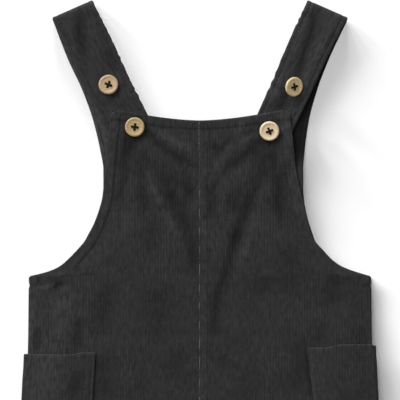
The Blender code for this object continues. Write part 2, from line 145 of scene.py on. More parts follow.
def add_sun(name, lamp, lit_things, blockers=None, turns=(0.0,)):
    """A soft light for some things only: suns tipped from straight down, each turned to its side."""
    for turn in turns:
        data = bpy.data.lights.new(name, "SUN")
        data.energy = lamp.strength / len(turns)
        data.angle = math.radians(lamp.spread)
        sun = bpy.data.objects.new(name, data)
        heading = math.atan2(lamp.ahead, lamp.across) + math.radians(turn)
        sun.rotation_euler = (0.0, math.radians(90.0 - lamp.elevation), heading)
        sun.light_linking.receiver_collection = lit_things
        if blockers:
            sun.light_linking.blocker_collection = blockers
        scene.collection.objects.link(sun)


garment_group, panel_group, strap_group, floor_group = (
    bpy.data.collections.new(name) for name in ("garment", "panels", "straps", "floor_only"))
floor_group.objects.link(floor)
add_sun("garment_key", GARMENT_KEY, garment_group)
add_sun("garment_fill", GARMENT_FILL, garment_group)
add_sun("panel_shadow", PANEL_SHADOW, floor_group, panel_group, FAN)
add_sun("strap_shadow", STRAP_SHADOW, floor_group, strap_group, FAN)
add_sun("whole_shadow", WHOLE_SHADOW, floor_group, None, FAN)
print("floor, sky and five soft lights")

# %% [markdown]
# ## The pattern
# A maker starts from a paper pattern. Here each half of the garment is drawn by its half width at some
# distances down from the shoulder, and a smooth curve runs through them. Everything below is in
# millimetres: `across` from the middle and `down` from the shoulder folds. The numbers follow the
# solids in the frame to within a few millimetres, so the cloth lies where the solids are.

# %% Curves that run through a few sizes


def smooth_curve(knots, values, at):
    """Cubic through the knots that never overshoots: slopes are harmonic means of the neighbours'."""
    knots = np.asarray(knots, float)
    values = np.asarray(values, float)
    steps = np.diff(knots)
    rise = np.diff(values) / steps
    product = rise[:-1] * rise[1:]
    total = np.where(product > 0, rise[:-1] + rise[1:], 1.0)
    middle = np.where(product > 0, 2.0 * product / total, 0.0)
    slope = np.concatenate(([rise[0]], middle, [rise[-1]]))
    cell = np.clip(np.searchsorted(knots, at, side="right") - 1, 0, len(steps) - 1)
    step = steps[cell]
    t = np.clip((at - knots[cell]) / step, 0.0, 1.0)
    return (values[cell] * (1 + 2 * t) * (1 - t) ** 2
            + values[cell + 1] * t * t * (3 - 2 * t)
            + slope[cell] * step * t * (1 - t) ** 2
            - slope[cell + 1] * step * t * t * (1 - t))


def ease(share):
    """Smooth step: three times the square less twice the cube, flat below 0 and above 1."""
    share = np.clip(share, 0.0, 1.0)
    return share * share * (3 - 2 * share)


def bell(distance, width):
    """Bell curve: 1 at no distance, fading as the exponential of minus the square."""
    return np.exp(-(distance / width) ** 2)


NET = 64                # knots of the noise's net each way, after which it repeats


def soft_noise(x, y, size, seed):
    """Smooth random field from -1 to 1: seeded numbers on a square net, blended by smooth steps."""
    net = np.random.default_rng(seed).uniform(-1, 1, (NET, NET))
    u, v = x / size, y / size
    i, j = np.floor(u).astype(int), np.floor(v).astype(int)
    s, t = ease(u - i), ease(v - j)
    i, j, i_next, j_next = i % NET, j % NET, (i + 1) % NET, (j + 1) % NET
    near = net[i, j] + (net[i_next, j] - net[i, j]) * s
    far = net[i, j_next] + (net[i_next, j_next] - net[i, j_next]) * s
    return near + (far - near) * t


# %% The outline of a front half, a back half and the inside of a leg
CLOTH = 1.3
STRAP_CLOTH = 2.0
GAP = 0.3
BIB_TOP = 96.0
BIB_DIP = 8.8
BIB_DIP_HALF = 70.0
BACK_TOP = 168.0
BACK_SCOOP = 10.0
BACK_SCOOP_HALF = 50.0
SAG_REACH = 45.0        # how far down the dip of a top edge is felt
UNDERARM = 241.0
ARMHOLE_END = UNDERARM + 9.0    # the armhole's hem runs on this far
CROTCH = 425.0
SEAM_SHIFT = 0.9        # the centre seam lies this far to the left of the middle
NOTCH_DOWN = 248.4      # the armhole hem ends in a small notch on the side seam
NOTCH_DEEP = 0.9
NOTCH_WIDE = 1.6
BACK_PEEKS = 0.8        # on the right the back shows this far beyond the front along the armhole

Edge = namedtuple("Edge", "down left right")
FRONT_EDGE = [
    Edge(96, 71.0, 74.0),
    Edge(98, 76.0, 78.0),
    Edge(101, 77.6, 78.8),
    Edge(109, 78.4, 79.3),
    Edge(122, 80.0, 80.8),
    Edge(152, 83.0, 84.3),
    Edge(174, 85.4, 89.6),
    Edge(191, 90.9, 93.2),
    Edge(209, 100.0, 99.4),
    Edge(218, 107.5, 107.4),
    Edge(226, 115.4, 115.2),
    Edge(232, 122.7, 124.0),
    Edge(237, 134.4, 137.2),
    Edge(UNDERARM, 149.0, 149.0),
    Edge(300, 149.6, 149.6),
    Edge(350, 152.0, 152.0),
    Edge(CROTCH, 154.0, 154.0),
    Edge(LEG_END, 150.0, 150.0),
]
BACK_EDGE = [
    Edge(168, 84.4, 89.2),
    Edge(174, 85.6, 89.8),
    Edge(191, 90.9, 93.2),
    Edge(209, 100.0, 99.4),
]
Inseam = namedtuple("Inseam", "down across")
INSEAM = [
    Inseam(425, 0.15),
    Inseam(430, 5.0),
    Inseam(440, 8.5),
    Inseam(480, 12.0),
    Inseam(LEG_END, 20.0),
]


def column(table, name):
    """One named column of a table, as an array."""
    return np.array([getattr(row, name) for row in table], float)


def outer_edge(side, down):
    """Half width of the front: the curve through its table, less a small bell at the hem's notch."""
    half = smooth_curve(column(FRONT_EDGE, "down"), column(FRONT_EDGE, side), down)
    return half - NOTCH_DEEP * bell(down - NOTCH_DOWN, NOTCH_WIDE)


def back_outer_edge(side, down):
    """Half width of the back, which shows a little past the front beside the bib."""
    beside_bib = smooth_curve(column(BACK_EDGE, "down"), column(BACK_EDGE, side), down)
    peeks = BACK_PEEKS * (side == "right") * ease((228.0 - down) / 30.0)
    return np.where(down < BACK_EDGE[-1].down, beside_bib, outer_edge(side, down)) + peeks


def inner_edge(side, down):
    """The centre seam, and from the crotch down the inside of the leg."""
    leg = smooth_curve(column(INSEAM, "down"), column(INSEAM, "across"), down)
    return np.where(down > CROTCH, leg, 0.02 - SIDES[side] * SEAM_SHIFT)


def sag_top(across, down):
    """Lower the bib's top edge towards the centre; the rows below follow less and less."""
    dip = BIB_DIP * (1 - np.clip(np.abs(across) / BIB_DIP_HALF, 0, 1) ** 1.6)
    return down + dip * (1 - ease((down - BIB_TOP) / SAG_REACH))


def scoop_back(across, down):
    """Lower the back neckline between the straps."""
    dip = BACK_SCOOP * (1 - ease(np.abs(across) / BACK_SCOOP_HALF))
    return down + dip * (1 - ease((down - BACK_TOP) / SAG_REACH))


print(f"bib {2 * outer_edge('left', 122.0):.0f} mm wide, body {2 * outer_edge('left', 300.0):.0f} mm wide")

# %% [markdown]
# ## How high the cloth lies
# The layers rest on each other: the back on the floor, the straps' ends on top of it, then the front,
# then the pockets. The front never sinks into what is below. On top of that it has some fullness in
# the middle and its creases.

# %% Heights of the layers
Pocket = namedtuple("Pocket", "down top_across bottom_across rise rise_from rise_to")
POCKETS = {
    "left": Pocket(308.0, 90.5, 97.5, 1.7, 112.0, 102.0),       # the mouth rises a little inwards
    "right": Pocket(302.0, 93.0, 106.0, 2.7, 107.0, 123.0),     # and here outwards
}
POCKET_TALL = 104.0
STRAP_HALF_WIDTH = 18.0
STRAP_MIDDLE_DOWN = [90.0, 112.0, 155.0]        # the middle of a strap where it lies under the bib
STRAP_MIDDLE_ACROSS = [71.5, 61.0, 41.0]
STRAP_END = 162.0
LOFT = 2.4
MOST_LIFT = 5.0
BIB_SPAN_LIFT = 1.0


def pocket_line(side, down):
    """Where the pocket's inner edge runs, a straight slanted line."""
    pocket = POCKETS[side]
    slant = (pocket.bottom_across - pocket.top_across) / POCKET_TALL
    return pocket.top_across + slant * (down - pocket.down)


def back_under(side, across, down, ramp=12.0):
    """Underside of the back: the floor, and one cloth higher over the pocket's back leaf."""
    pocket = POCKETS[side]
    lead = ramp + 2.0
    inside_line = ease((across - pocket_line(side, down) + lead) / ramp)
    below_top = ease((down - pocket.down + lead) / ramp)
    above_bottom = ease((pocket.down + POCKET_TALL - down + lead) / ramp)
    return (CLOTH + GAP) * inside_line * below_top * above_bottom


def top_of_layer_below(side, across, down):
    """Top of what the front lies on. It climbs over the pocket's back leaf more gently than the back."""
    back_top = back_under(side, across, down, ramp=45.0) + CLOTH
    return back_top + (STRAP_CLOTH - CLOTH) * ease((BACK_TOP + 34.0 - down) / 22.0)


def strap_lift(across, down):
    """How far a strap lifts the bib, and how far the bib is held up between the two straps."""
    centre = smooth_curve(STRAP_MIDDLE_DOWN, STRAP_MIDDLE_ACROSS, down)
    beside = np.abs(across - centre) - STRAP_HALF_WIDTH
    over = ease((20.0 - beside) / 14.0) * ease((STRAP_END + 24.0 - down) / 22.0)
    span = ease((centre - across) / 20.0) * ease((200.0 - down) / 90.0)
    return np.maximum((STRAP_CLOTH + 2 * GAP) * over, BIB_SPAN_LIFT * span)


def body_loft(side, across, down):
    """Fullness of the front: none at the seams, most in the middle."""
    from_side = ease((outer_edge(side, down) - across) / 34.0)
    leg_share = ease((down - CROTCH + 50.0) / 60.0)
    from_inseam = ease((across - inner_edge(side, down)) / 30.0)
    open_inner = 1 - leg_share * (1 - from_inseam)
    return LOFT * from_side * open_inner * ease((down - 130.0) / 90.0)


# %% [markdown]
# ## Creases
# The cloth pulls from the buttons to the centre seam, hangs in long soft troughs below the bib, and
# breaks at the hips and knees. Each crease is a route of two to eight points, with a width and a
# depth: a trough is negative and a ridge positive. The height across a route is a bell, and it fades
# in and out along it, so that no crease starts or stops with an edge. A shade says how much shade is
# painted into it, darker in a trough, and a negative shade paints a highlight on a ridge; a skew makes
# one side of it gentler than the other, as in cloth that is pulled from one end.

# %% Creases of the front, as signed distance across and distance down
Crease = namedtuple("Crease", "route width depth shade skew", defaults=(None, 0.0))
FRONT_CREASES = [
    # from the left button to the centre seam
    Crease([(-58, 94), (-50, 104), (-44, 113), (-38, 120), (-22, 134), (-10, 141), (2, 149)],
           4.6, -2.1, 0.8, -0.2),
    Crease([(-38, 111), (-28, 117), (-16, 126), (-4, 132)], 3.8, 1.5, -1.3),
    Crease([(-46, 116), (-44, 127)], 3.4, 0.8, -0.6),
    Crease([(-50, 130), (-30, 138), (-6, 156)], 5.0, 0.8, -0.12),
    Crease([(-27, 147), (-22, 157), (-12, 164), (-3, 178)], 4.4, -1.1, 0.5, 0.2),
    Crease([(-54, 128), (-44, 139), (-36, 149)], 6.0, -1.0, 0.35),
    Crease([(-38, 146), (-30, 162), (-22, 178), (-15, 191), (-10, 202), (-6, 214), (-4, 230), (-3, 246)],
           6.6, -1.9, 0.62, 0.25),
    Crease([(-44, 148), (-40, 160), (-33, 178), (-24, 196), (-16, 210)], 4.6, 1.0, -0.5),
    Crease([(-58, 100), (-61, 112), (-63, 122), (-65, 138)], 5.2, -1.8, 1.3, 0.2),
    Crease([(-64, 128), (-68, 140), (-66, 150), (-69, 162), (-71, 184)], 5.4, -1.4, 0.65, 0.2),
    Crease([(-53, 134), (-51, 152), (-48, 172), (-45, 194)], 5.5, -0.8, 0.4),
    Crease([(-42, 190), (-40, 232)], 9.0, -0.8, 0.4),
    Crease([(-60, 140), (-58, 175), (-60, 215)], 6, 0.6),
    # from the right button to the centre seam
    Crease([(66, 108), (56, 117), (46, 126), (37, 137), (28, 143), (14, 151)], 6.0, -2.1, 0.9, 0.2),
    Crease([(54, 107), (47, 111), (38, 114)], 3.8, -0.8, 0.6),
    Crease([(52, 112), (42, 119), (32, 128)], 3.0, 0.9, -0.7),
    Crease([(34, 111), (24, 120), (16, 130), (11, 137)], 4.2, -1.0, 0.65, 0.2),
    Crease([(14, 119), (11, 131)], 3.2, -0.7, 0.7),
    Crease([(46, 134), (38, 143), (24, 152)], 5.0, 0.9, -0.45),
    Crease([(19, 152), (12, 160), (10, 176), (12, 194)], 5.0, -0.9, 0.65),
    Crease([(22, 168), (20, 186)], 3.8, 0.7, -0.5),
    Crease([(56, 128), (54, 148), (48, 162), (45, 175), (41, 188), (34, 204), (30, 222)],
           7.0, -1.7, 0.62, 0.2),
    Crease([(34, 200), (29, 221), (24, 238), (17.5, 255), (14.5, 271), (13.5, 300)],
           5.6, -1.35, 0.55, 0.2),
    Crease([(38, 156), (32, 172), (27, 192)], 7.0, -0.5, 0.3),
    Crease([(54, 164), (50, 184), (43, 206), (34, 238)], 6, 0.9, -0.3),
    Crease([(61, 124), (65, 146), (67, 164), (69, 180), (72, 201)], 5.0, -1.2, 0.55, 0.2),
    # small pulls at the centre seam and round the buttons
    Crease([(68, 118), (76, 132)], 3.2, -0.5),
    Crease([(1, 169), (10, 171)], 2.2, -0.5),
    Crease([(2, 191), (12, 189)], 2.2, -0.5),
    Crease([(-2, 163), (-12, 158)], 2.4, -0.5),
    # soft troughs of the body
    Crease([(78, 212), (81, 234), (83, 268)], 10.4, -0.8, 0.35),
    Crease([(57, 240), (58, 262)], 13.4, -0.8, 0.31),
    Crease([(124, 240), (116, 252), (113, 272)], 8.2, -1.1, 0.49),
    Crease([(107, 280), (103, 304)], 7.5, -0.8, 0.37),
    Crease([(143, 284), (142, 304)], 5.7, -0.7, 0.37),
    Crease([(89, 292), (90, 320), (92, 350)], 9.0, -0.6, 0.31),
    Crease([(-75, 244), (-80, 262), (-84, 280), (-87, 298)], 9.8, -1.0, 0.43),
    Crease([(-103, 274), (-105, 288), (-107, 310)], 5.3, -1.1, 0.61),
    Crease([(-142, 282), (-143, 308)], 5.3, -0.9, 0.55),
    Crease([(-131, 274), (-129, 298)], 5.7, -0.5, 0.25),
    Crease([(-120, 243), (-127, 252), (-134, 255)], 4.3, -0.8, 0.43),
    Crease([(-84, 306), (-82, 330), (-86, 352)], 12.0, -0.8, 0.43),
    Crease([(-36, 250), (-34, 280), (-34, 305)], 13.4, -0.8, 0.37),
    Crease([(-26, 306), (-14, 324), (0, 336)], 10.4, -0.7, 0.31),
    Crease([(24, 310), (20, 322)], 9.0, -0.6, 0.31),
    Crease([(34, 326), (46, 338), (42, 365)], 13.4, -0.7, 0.25),
    Crease([(80, 322), (82, 345)], 12.0, -0.6, 0.25),
    Crease([(-66, 300), (-60, 345)], 13, 0.6),
    Crease([(66, 262), (70, 300)], 12, 0.6),
    Crease([(128, 262), (134, 290)], 7, 0.5),
    Crease([(-118, 258), (-120, 300)], 12.0, 0.7, -0.37),
    # painted shade along the right pocket's edge
    Crease([(92, 303), (95, 330), (98, 352)], 2.0, -0.2, 0.6),
    # the end of the left armhole's hem, with a painted highlight on its ridge and painted shade beside it
    Crease([(-148, 251), (-137, 250), (-124, 247)], 1.3, 0.2, -1.2),
    Crease([(-128, 251), (-118, 246)], 2.2, -0.4, 0.9),
    # the crotch and the thighs
    Crease([(-4, 418), (-40, 402), (-78, 396)], 7, -1.6),
    Crease([(6, 420), (44, 408), (86, 404)], 8, -1.4),
    Crease([(-8, 430), (-44, 428), (-90, 440)], 8, -1.2),
    Crease([(8, 434), (50, 436), (96, 456)], 7, -1.3),
    Crease([(3, 380), (5, 400), (3, 420)], 4, -0.9),
    # the knees and the hems
    Crease([(-140, 500), (-100, 508), (-52, 498)], 6, -1.2),
    Crease([(-128, 526), (-84, 520), (-40, 530)], 7, -1.0),
    Crease([(40, 492), (86, 502), (136, 494)], 7, -1.3),
    Crease([(52, 524), (96, 534), (140, 522)], 6, -0.9),
    Crease([(-96, 548), (-92, 580), (-98, 612)], 11, -0.9),
    Crease([(84, 552), (90, 584), (86, 612)], 12, -1.0),
    Crease([(-60, 450), (-70, 480), (-66, 512)], 11, 0.7),
    Crease([(72, 446), (66, 480), (74, 508)], 12, 0.7),
]
FADE_IN = 14.0          # longest lengths over which a crease comes up and dies away
FADE_OUT = 24.0
SHADE_OF_DEPTH = 0.2    # how much shade is painted for each millimetre of a trough
print(f"{len(FRONT_CREASES)} creases on the front")

# %% Sum the creases


def follow(route, count):
    """Points evenly along a route: smooth curves through its points, by their order."""
    order = np.arange(len(route), dtype=float)
    at = np.linspace(0, len(route) - 1, count)
    points = np.array(route, float)
    return np.stack([smooth_curve(order, points[:, k], at) for k in (0, 1)], axis=1)


def crease_sums(creases, x, down):
    """Height and shade: a bell of the distance to each route, faded at its ends, times depth or shade."""
    height, shade = np.zeros_like(x), np.zeros_like(x)
    for crease in creases:
        line = follow(crease.route, 4 * len(crease.route))
        step = np.diff(line, axis=0)
        lengths = np.hypot(step[:, 0], step[:, 1])
        starts = np.concatenate(([0.0], np.cumsum(lengths)[:-1]))
        nearest = np.full_like(x, np.inf)
        place = np.zeros_like(x)
        beside = np.zeros_like(x)
        for (px, py), (dx, dy), length, start in zip(line, step, lengths, starts):
            t = np.clip(((x - px) * dx + (down - py) * dy) / length ** 2, 0, 1)
            distance = np.hypot(x - px - t * dx, down - py - t * dy)
            closer = distance < nearest
            nearest = np.where(closer, distance, nearest)
            place = np.where(closer, start + t * length, place)
            beside = np.where(closer, np.sign(dy * (x - px) - dx * (down - py)), beside)
        length = lengths.sum()
        fade = ease(place / min(FADE_IN, 0.3 * length) + 0.2)
        fade *= ease((length - place) / min(FADE_OUT, 0.4 * length) + 0.15)
        fade *= bell(nearest, crease.width * (1 + crease.skew * beside))
        height += crease.depth * fade
        shade += (-SHADE_OF_DEPTH * crease.depth if crease.shade is None else crease.shade) * fade
    return height, shade


def crease_height(creases, x, down):
    """Sum of the creases' heights."""
    return crease_sums(creases, x, down)[0]


# %% [markdown]
# ## Hems, seams and puckers
# A hem is cloth turned under and stitched down, so the band along an edge is a little thicker, the
# line of stitches pulls a groove into it, and the cloth ripples where the thread is tight. The
# distance to the outline, taken square to it, drives all three.

# %% Relief of the front's hems and its centre seam
HEM = 8.7
HEM_RISE = 0.35
GROOVE = 0.4
GROOVE_WIDTH = 0.9
FELL = 9.8              # width of the strip along the centre seam
FELL_STITCH = 7.6       # its second row of stitches
FELL_RISE = 0.42
FELL_TOP = 112.0
SIDE_ROLL = 0.7         # the front rolls down to meet the back along the side seam
SIDE_ROLL_WIDTH = 4.5
LEG_HEM = 20.0
RIPPLE_PITCH = 7.0


def edge_distance(side, across, down, outer=outer_edge):
    """Distance to the side outline, square to it: the step across over the root of 1 plus slope squared."""
    slope = outer(side, down + 0.5) - outer(side, down - 0.5)
    return (outer(side, down) - across) / np.sqrt(1 + slope ** 2)


def stitched_band(distance, width, along, seed):
    """Relief of a hem: a raised band, a groove at its stitches, and ripples across it."""
    band = HEM_RISE * ease((width + 1.0 - distance) / 1.6)
    groove = -GROOVE * bell(distance - width, GROOVE_WIDTH)
    wobble = soft_noise(along, distance * 0.2, 9.0, seed)
    ripple = 0.16 * np.sin(2 * np.pi * along / RIPPLE_PITCH + 3.0 * wobble) * (0.6 + 0.6 * wobble)
    return band + groove + ripple * bell(distance - width * 0.75, width * 0.6)


def beside_armhole(down):
    """1 down to where the armhole's hem ends, and 0 below."""
    return ease((ARMHOLE_END - down) / 4.0)


def front_relief(side, across, down):
    """Small relief on the front: hems along the bib and armhole, the centre seam and the leg hems."""
    from_side = edge_distance(side, across, down)
    from_top = down - BIB_TOP
    side_seed = 11 + SIDES[side]
    relief = beside_armhole(down) * stitched_band(from_side, HEM, down, side_seed)
    relief += stitched_band(from_top, HEM, across, side_seed + 4)
    relief += stitched_band(LEG_END - down, LEG_HEM, across, side_seed + 8)
    above_crotch = ease((CROTCH - down) / 6.0) * ease((down - FELL_TOP) / 5.0)
    x = SIDES[side] * across + SEAM_SHIFT
    strip = FELL_RISE * ease((FELL + 0.5 - x) / 1.2) * (x > -0.1)
    pulls = soft_noise(down, 0.0 * down, 5.0, 21)
    pull = 0.3 * pulls * bell(x - FELL / 2, 7.0)
    lines = -0.3 * bell(x, 0.7) - 0.15 * bell(x - FELL_STITCH, 0.8)
    return relief + above_crotch * (strip + pull + lines)


def front_under(side, across, down):
    """Underside of the front: the layer below, a gap, and the lift, fullness and creases above it."""
    edge_fade = ease(edge_distance(side, across, down) / 14.0)
    x = SIDES[side] * across
    creases = crease_height(FRONT_CREASES, x, down)
    uneven = 0.4 * soft_noise(x, down, 42.0, 3) + 0.16 * soft_noise(x, down, 15.0, 4)
    lift = strap_lift(across, down)
    on_strap = lift * ease((STRAP_END + 16.0 - down) / 14.0)
    soft = lift + body_loft(side, across, down) + edge_fade * (creases + uneven)
    return top_of_layer_below(side, across, down) + GAP + np.clip(soft, on_strap, MOST_LIFT)


print(f"a hem stands {HEM_RISE} mm proud of the cloth beside it, the felled seam {FELL_RISE} mm")

# %% [markdown]
# ## Ribs
# Corduroy is woven with rows of cut pile. A bump map alone would vanish at the outline and in the
# exported mesh, so the ribs are real relief here: an arch for each rib with a narrow groove between
# two, a quarter of a millimetre deep. Grid columns sit on crest, flank and groove, so every rib is cut
# alike. The same crest value is kept on the points, and the colour is mixed by it: paler crests and
# darker grooves, partly the pile's own colour and partly painted light and painted shade.

# %% Rib profile
RIB = 2.5
RIB_DEEP = 0.26
UNDERSIDE_TONE = 0.4    # the plain wrong side lies between groove and crest


def rib_crest(u):
    """1 on a rib's crest and 0 in the groove: the size of the cosine, fattened by a root."""
    return np.abs(np.cos(np.pi * u / RIB)) ** 0.75


def rib_wear(u, v):
    """How full the ribs stand, from 0 to 1: wide and small patches of flattened pile."""
    patches = 0.5 * soft_noise(u, v, 31.0, 8) + 0.55 * soft_noise(u, v * 0.8, 11.0, 9)
    return ease(0.5 + 1.3 * patches)


def rib_dashes(u, v):
    """Short lighter dashes, each on one rib: noise that changes from rib to rib and quickly along it."""
    one = soft_noise(np.round(u / RIB) * 9.7, v, 5.5, 10)
    return np.clip(1.8 * one - 0.35, 0, 1)


def rib_cut(u, v, calm):
    """Depth below the crests: rib depth times what the crest lacks, less where wear or stitches flatten it.
    """
    fullness = 0.22 + 0.7 * rib_wear(u, v)
    return -RIB_DEEP * fullness * (1 - calm) * (1 - rib_crest(u))


def rib_shade(u, v, calm):
    """Colour value about 0.5: lighter on crests (partly painted light) and dashes, evener where wear
    flattens it.
    """
    crest = rib_crest(u)
    full = (0.06 + 0.36 * rib_wear(u, v)) * (1 - 0.6 * calm)
    return 0.53 + (crest - 0.6) * full + 0.95 * rib_dashes(u, v) * full * crest ** 3


# %% [markdown]
# ## Turning grids into cloth
# Each piece is two leaves of points, a face and an underside, joined round the rim. Where a grid
# column would pass the outline it is pulled back onto it, as if cut with scissors, and points that
# fall together are made one. The wall thins in a quarter circle at the rim, which rounds the edge.

# %% Build a closed shell from two leaves


def add_piece(name, mesh, material):
    """Link a finished mesh, shade it smooth and ride it on the garment's one body."""
    mesh.materials.append(material)
    mesh.shade_smooth()
    obj = bpy.data.objects.new(name, mesh)
    scene.collection.objects.link(obj)
    garment_group.objects.link(obj)
    if name.startswith("cloth"):
        (strap_group if "strap" in name else panel_group).objects.link(obj)
    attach(obj, "root")
    return obj


def fill_mesh(name, points, faces, attributes=None, uv=None):
    """Mesh from arrays in millimetres. Triangles face out: all are turned if the volume is negative."""
    a, b, c = (points[faces[:, k]] for k in (0, 1, 2))
    if np.einsum("ij,ij->", a, np.cross(b, c)) < 0:
        faces = faces[:, ::-1]
    mesh = bpy.data.meshes.new(name)
    mesh.vertices.add(len(points))
    mesh.vertices.foreach_set("co", (points * MM).astype(np.float32).ravel())
    mesh.loops.add(faces.size)
    mesh.loops.foreach_set("vertex_index", faces.astype(np.int32).ravel())
    mesh.polygons.add(len(faces))
    mesh.polygons.foreach_set("loop_start", np.arange(0, faces.size, 3, dtype=np.int32))
    mesh.update(calc_edges=True)
    mesh.validate()
    for key, values in (attributes or {}).items():
        layer = mesh.attributes.new(key, "FLOAT", "POINT")
        layer.data.foreach_set("value", values.astype(np.float32).ravel())
    if uv is not None:
        layer = mesh.uv_layers.new(name="grain")
        layer.data.foreach_set("uv", (uv[faces.ravel()] * MM).astype(np.float32).ravel())
    return mesh


def weld_grid(grid):
    """Number a grid's points, giving neighbours in a row that lie together the same number."""
    apart = np.abs(np.diff(grid, axis=1)).max(axis=-1) > 1e-5
    first = np.concatenate((np.ones((len(grid), 1), bool), apart), axis=1)
    return (np.cumsum(first.ravel()) - 1).reshape(first.shape), first


def shell_faces(ids, count):
    """Triangles of both leaves and of the rim between them; the underside's numbers follow the face's."""
    a, b, c, d = (part.ravel() for part in (ids[:-1, :-1], ids[:-1, 1:], ids[1:, 1:], ids[1:, :-1]))
    leaf = np.concatenate((np.stack((a, b, c), axis=1), np.stack((a, c, d), axis=1)))
    whole = (leaf[:, 0] != leaf[:, 1]) & (leaf[:, 1] != leaf[:, 2]) & (leaf[:, 2] != leaf[:, 0])
    leaf = leaf[whole]
    ring = np.concatenate((ids[0, :-1], ids[:-1, -1], ids[-1, :0:-1], ids[:0:-1, 0]))
    ring = ring[ring != np.roll(ring, -1)]
    after = np.roll(ring, -1)
    rim = np.concatenate((np.stack((after, ring, ring + count), axis=1),
                          np.stack((after, ring + count, after + count), axis=1)))
    return np.concatenate((leaf, leaf[:, ::-1] + count, rim))


def rounded(distance, radius):
    """Share of the wall left at a distance from the rim: a quarter circle."""
    return np.sqrt(1 - (1 - np.clip(distance / radius, 0.02, 1)) ** 2)


def make_shell(name, face, under, attributes, uv, material):
    """One piece of cloth from two grids of points. Attributes and the grain map are given per point."""
    ids, first = weld_grid(face)
    points = np.concatenate((face[first], under[first]))
    points[:, 2] = np.maximum(points[:, 2], 0.0)
    values = {key: np.concatenate((top[first], low[first])) for key, (top, low) in attributes.items()}
    grain = np.concatenate((uv[first], uv[first]))
    faces = shell_faces(ids, int(first.sum()))
    obj = add_piece(name, fill_mesh(name, points, faces, values, grain), material)
    print(f"{name}: {len(faces)} triangles")
    return obj


# %% [markdown]
# ## Corduroy, thread and wood
# The cloth is nearly black. Its crests are lighter than its grooves, partly the pile's own colour and
# partly painted light on the crests and painted shade in the grooves. The pile lies unevenly along each
# rib, and wide patches differ a little as nap does. A soft sheen stands for the pile's glow at low
# angles. The crest values, the paling by wear and painted highlights, and the painted shade come with
# the mesh, so one recipe serves every piece whichever way its ribs run.

# %% Corduroy


def noise(tree, vector, scale, detail=2.0, roughness=0.5):
    """A noise texture's factor output."""
    made = node(tree, "ShaderNodeTexNoise", Vector=vector, Scale=scale, Detail=detail,
                Roughness=roughness)
    return made.outputs["Fac"]


def spread(tree, value, low, high):
    """Map a factor from its usual 0.3 to 0.7 onto a range."""
    made = node(tree, "ShaderNodeMapRange", {"clamp": True}, Value=value, From_Min=0.3, From_Max=0.7,
                To_Min=low, To_Max=high)
    return made.outputs["Result"]


def times(tree, a, b):
    """Product of two factors."""
    return node(tree, "ShaderNodeMath", {"operation": "MULTIPLY"}, _0=a, _1=b).outputs[0]


def mix_colour(tree, factor, first, second, blend="MIX"):
    """Blend of two colours."""
    made = tree.nodes.new("ShaderNodeMix")
    made.data_type = "RGBA"
    made.blend_type = blend
    for socket, value in ((made.inputs[0], factor), (made.inputs[6], first), (made.inputs[7], second)):
        if isinstance(value, bpy.types.NodeSocket):
            tree.links.new(value, socket)
        else:
            socket.default_value = value
    return made.outputs[2]


def grey(value):
    """A grey that is as strong in red, green and blue."""
    return (value, value, value, 1.0)


def make_corduroy(name, groove, crest):
    """Ribbed cloth: colours mixed by the rib, uneven pile and nap, wear with painted highlights, painted
    shade.
    """
    material, tree, shader = principled(
        name, Roughness=0.88, Specular_IOR_Level=0.22, Sheen_Weight=0.04, Sheen_Roughness=0.45,
        Sheen_Tint=(0.85, 0.86, 0.88, 1.0))
    grain = node(tree, "ShaderNodeUVMap", {"uv_map": "grain"}).outputs["UV"]
    rib = node(tree, "ShaderNodeAttribute", {"attribute_name": "crest"}).outputs["Fac"]
    wear_and_highlight_mask = node(tree, "ShaderNodeAttribute", {"attribute_name": "rub"}).outputs["Fac"]
    painted_shade_mask = node(tree, "ShaderNodeAttribute", {"attribute_name": "press"}).outputs["Fac"]
    along = node(tree, "ShaderNodeMapping", Vector=grain, Scale=(420.0, 130.0, 1.0)).outputs["Vector"]
    pile = noise(tree, along, 1.0, 3.0)
    place = node(tree, "ShaderNodeTexCoord").outputs["Object"]
    patch = noise(tree, place, 28.0, 2.0)
    mottle = noise(tree, place, 260.0, 2.0)
    fuzz = noise(tree, place, 2600.0, 2.0, 0.7)
    # crests paler than grooves: the pile's own colour, with painted light on crests and painted shade in
    # grooves
    lit = times(tree, rib, spread(tree, pile, 0.3, 1.4))
    crest_and_groove = mix_colour(tree, lit, groove, crest)
    # paled towards a pale grey by the point values for wear and painted highlights: wear at edges and
    # stitches, painted highlights on ridges, shoulder folds, the seam's edge and the sides that face the
    # light
    paled = mix_colour(tree, times(tree, wear_and_highlight_mask, spread(tree, pile, 0.1, 1.0)), crest_and_groove, PALE_WEAR_AND_HIGHLIGHT)
    nap = mix_colour(tree, spread(tree, patch, 0.0, 1.0), grey(0.9), (1.07, 1.07, 1.09, 1.0))
    soft = mix_colour(tree, spread(tree, mottle, 0.0, 1.0), grey(0.88), grey(1.12))
    # painted shade: darkened to 0.3 of the colour by the point values for painted shade, in creases, along
    # stitches and on the strap's sliver in the bib's shadow
    dark = mix_colour(tree, painted_shade_mask, grey(1.0), grey(0.3))
    shaded = paled
    for tint in (nap, soft, dark):
        shaded = mix_colour(tree, 1.0, shaded, tint, "MULTIPLY")
    tree.links.new(shaded, shader.inputs["Base Color"])
    rough = node(tree, "ShaderNodeMapRange", Value=pile, To_Min=0.95, To_Max=0.8).outputs["Result"]
    tree.links.new(rough, shader.inputs["Roughness"])
    pile_bump = node(tree, "ShaderNodeBump", Height=pile, Strength=0.35, Distance=0.0003)
    fuzz_bump = node(tree, "ShaderNodeBump", Height=fuzz, Strength=0.3, Distance=0.0002,
                     Normal=pile_bump.outputs["Normal"])
    tree.links.new(fuzz_bump.outputs["Normal"], shader.inputs["Normal"])
    return material


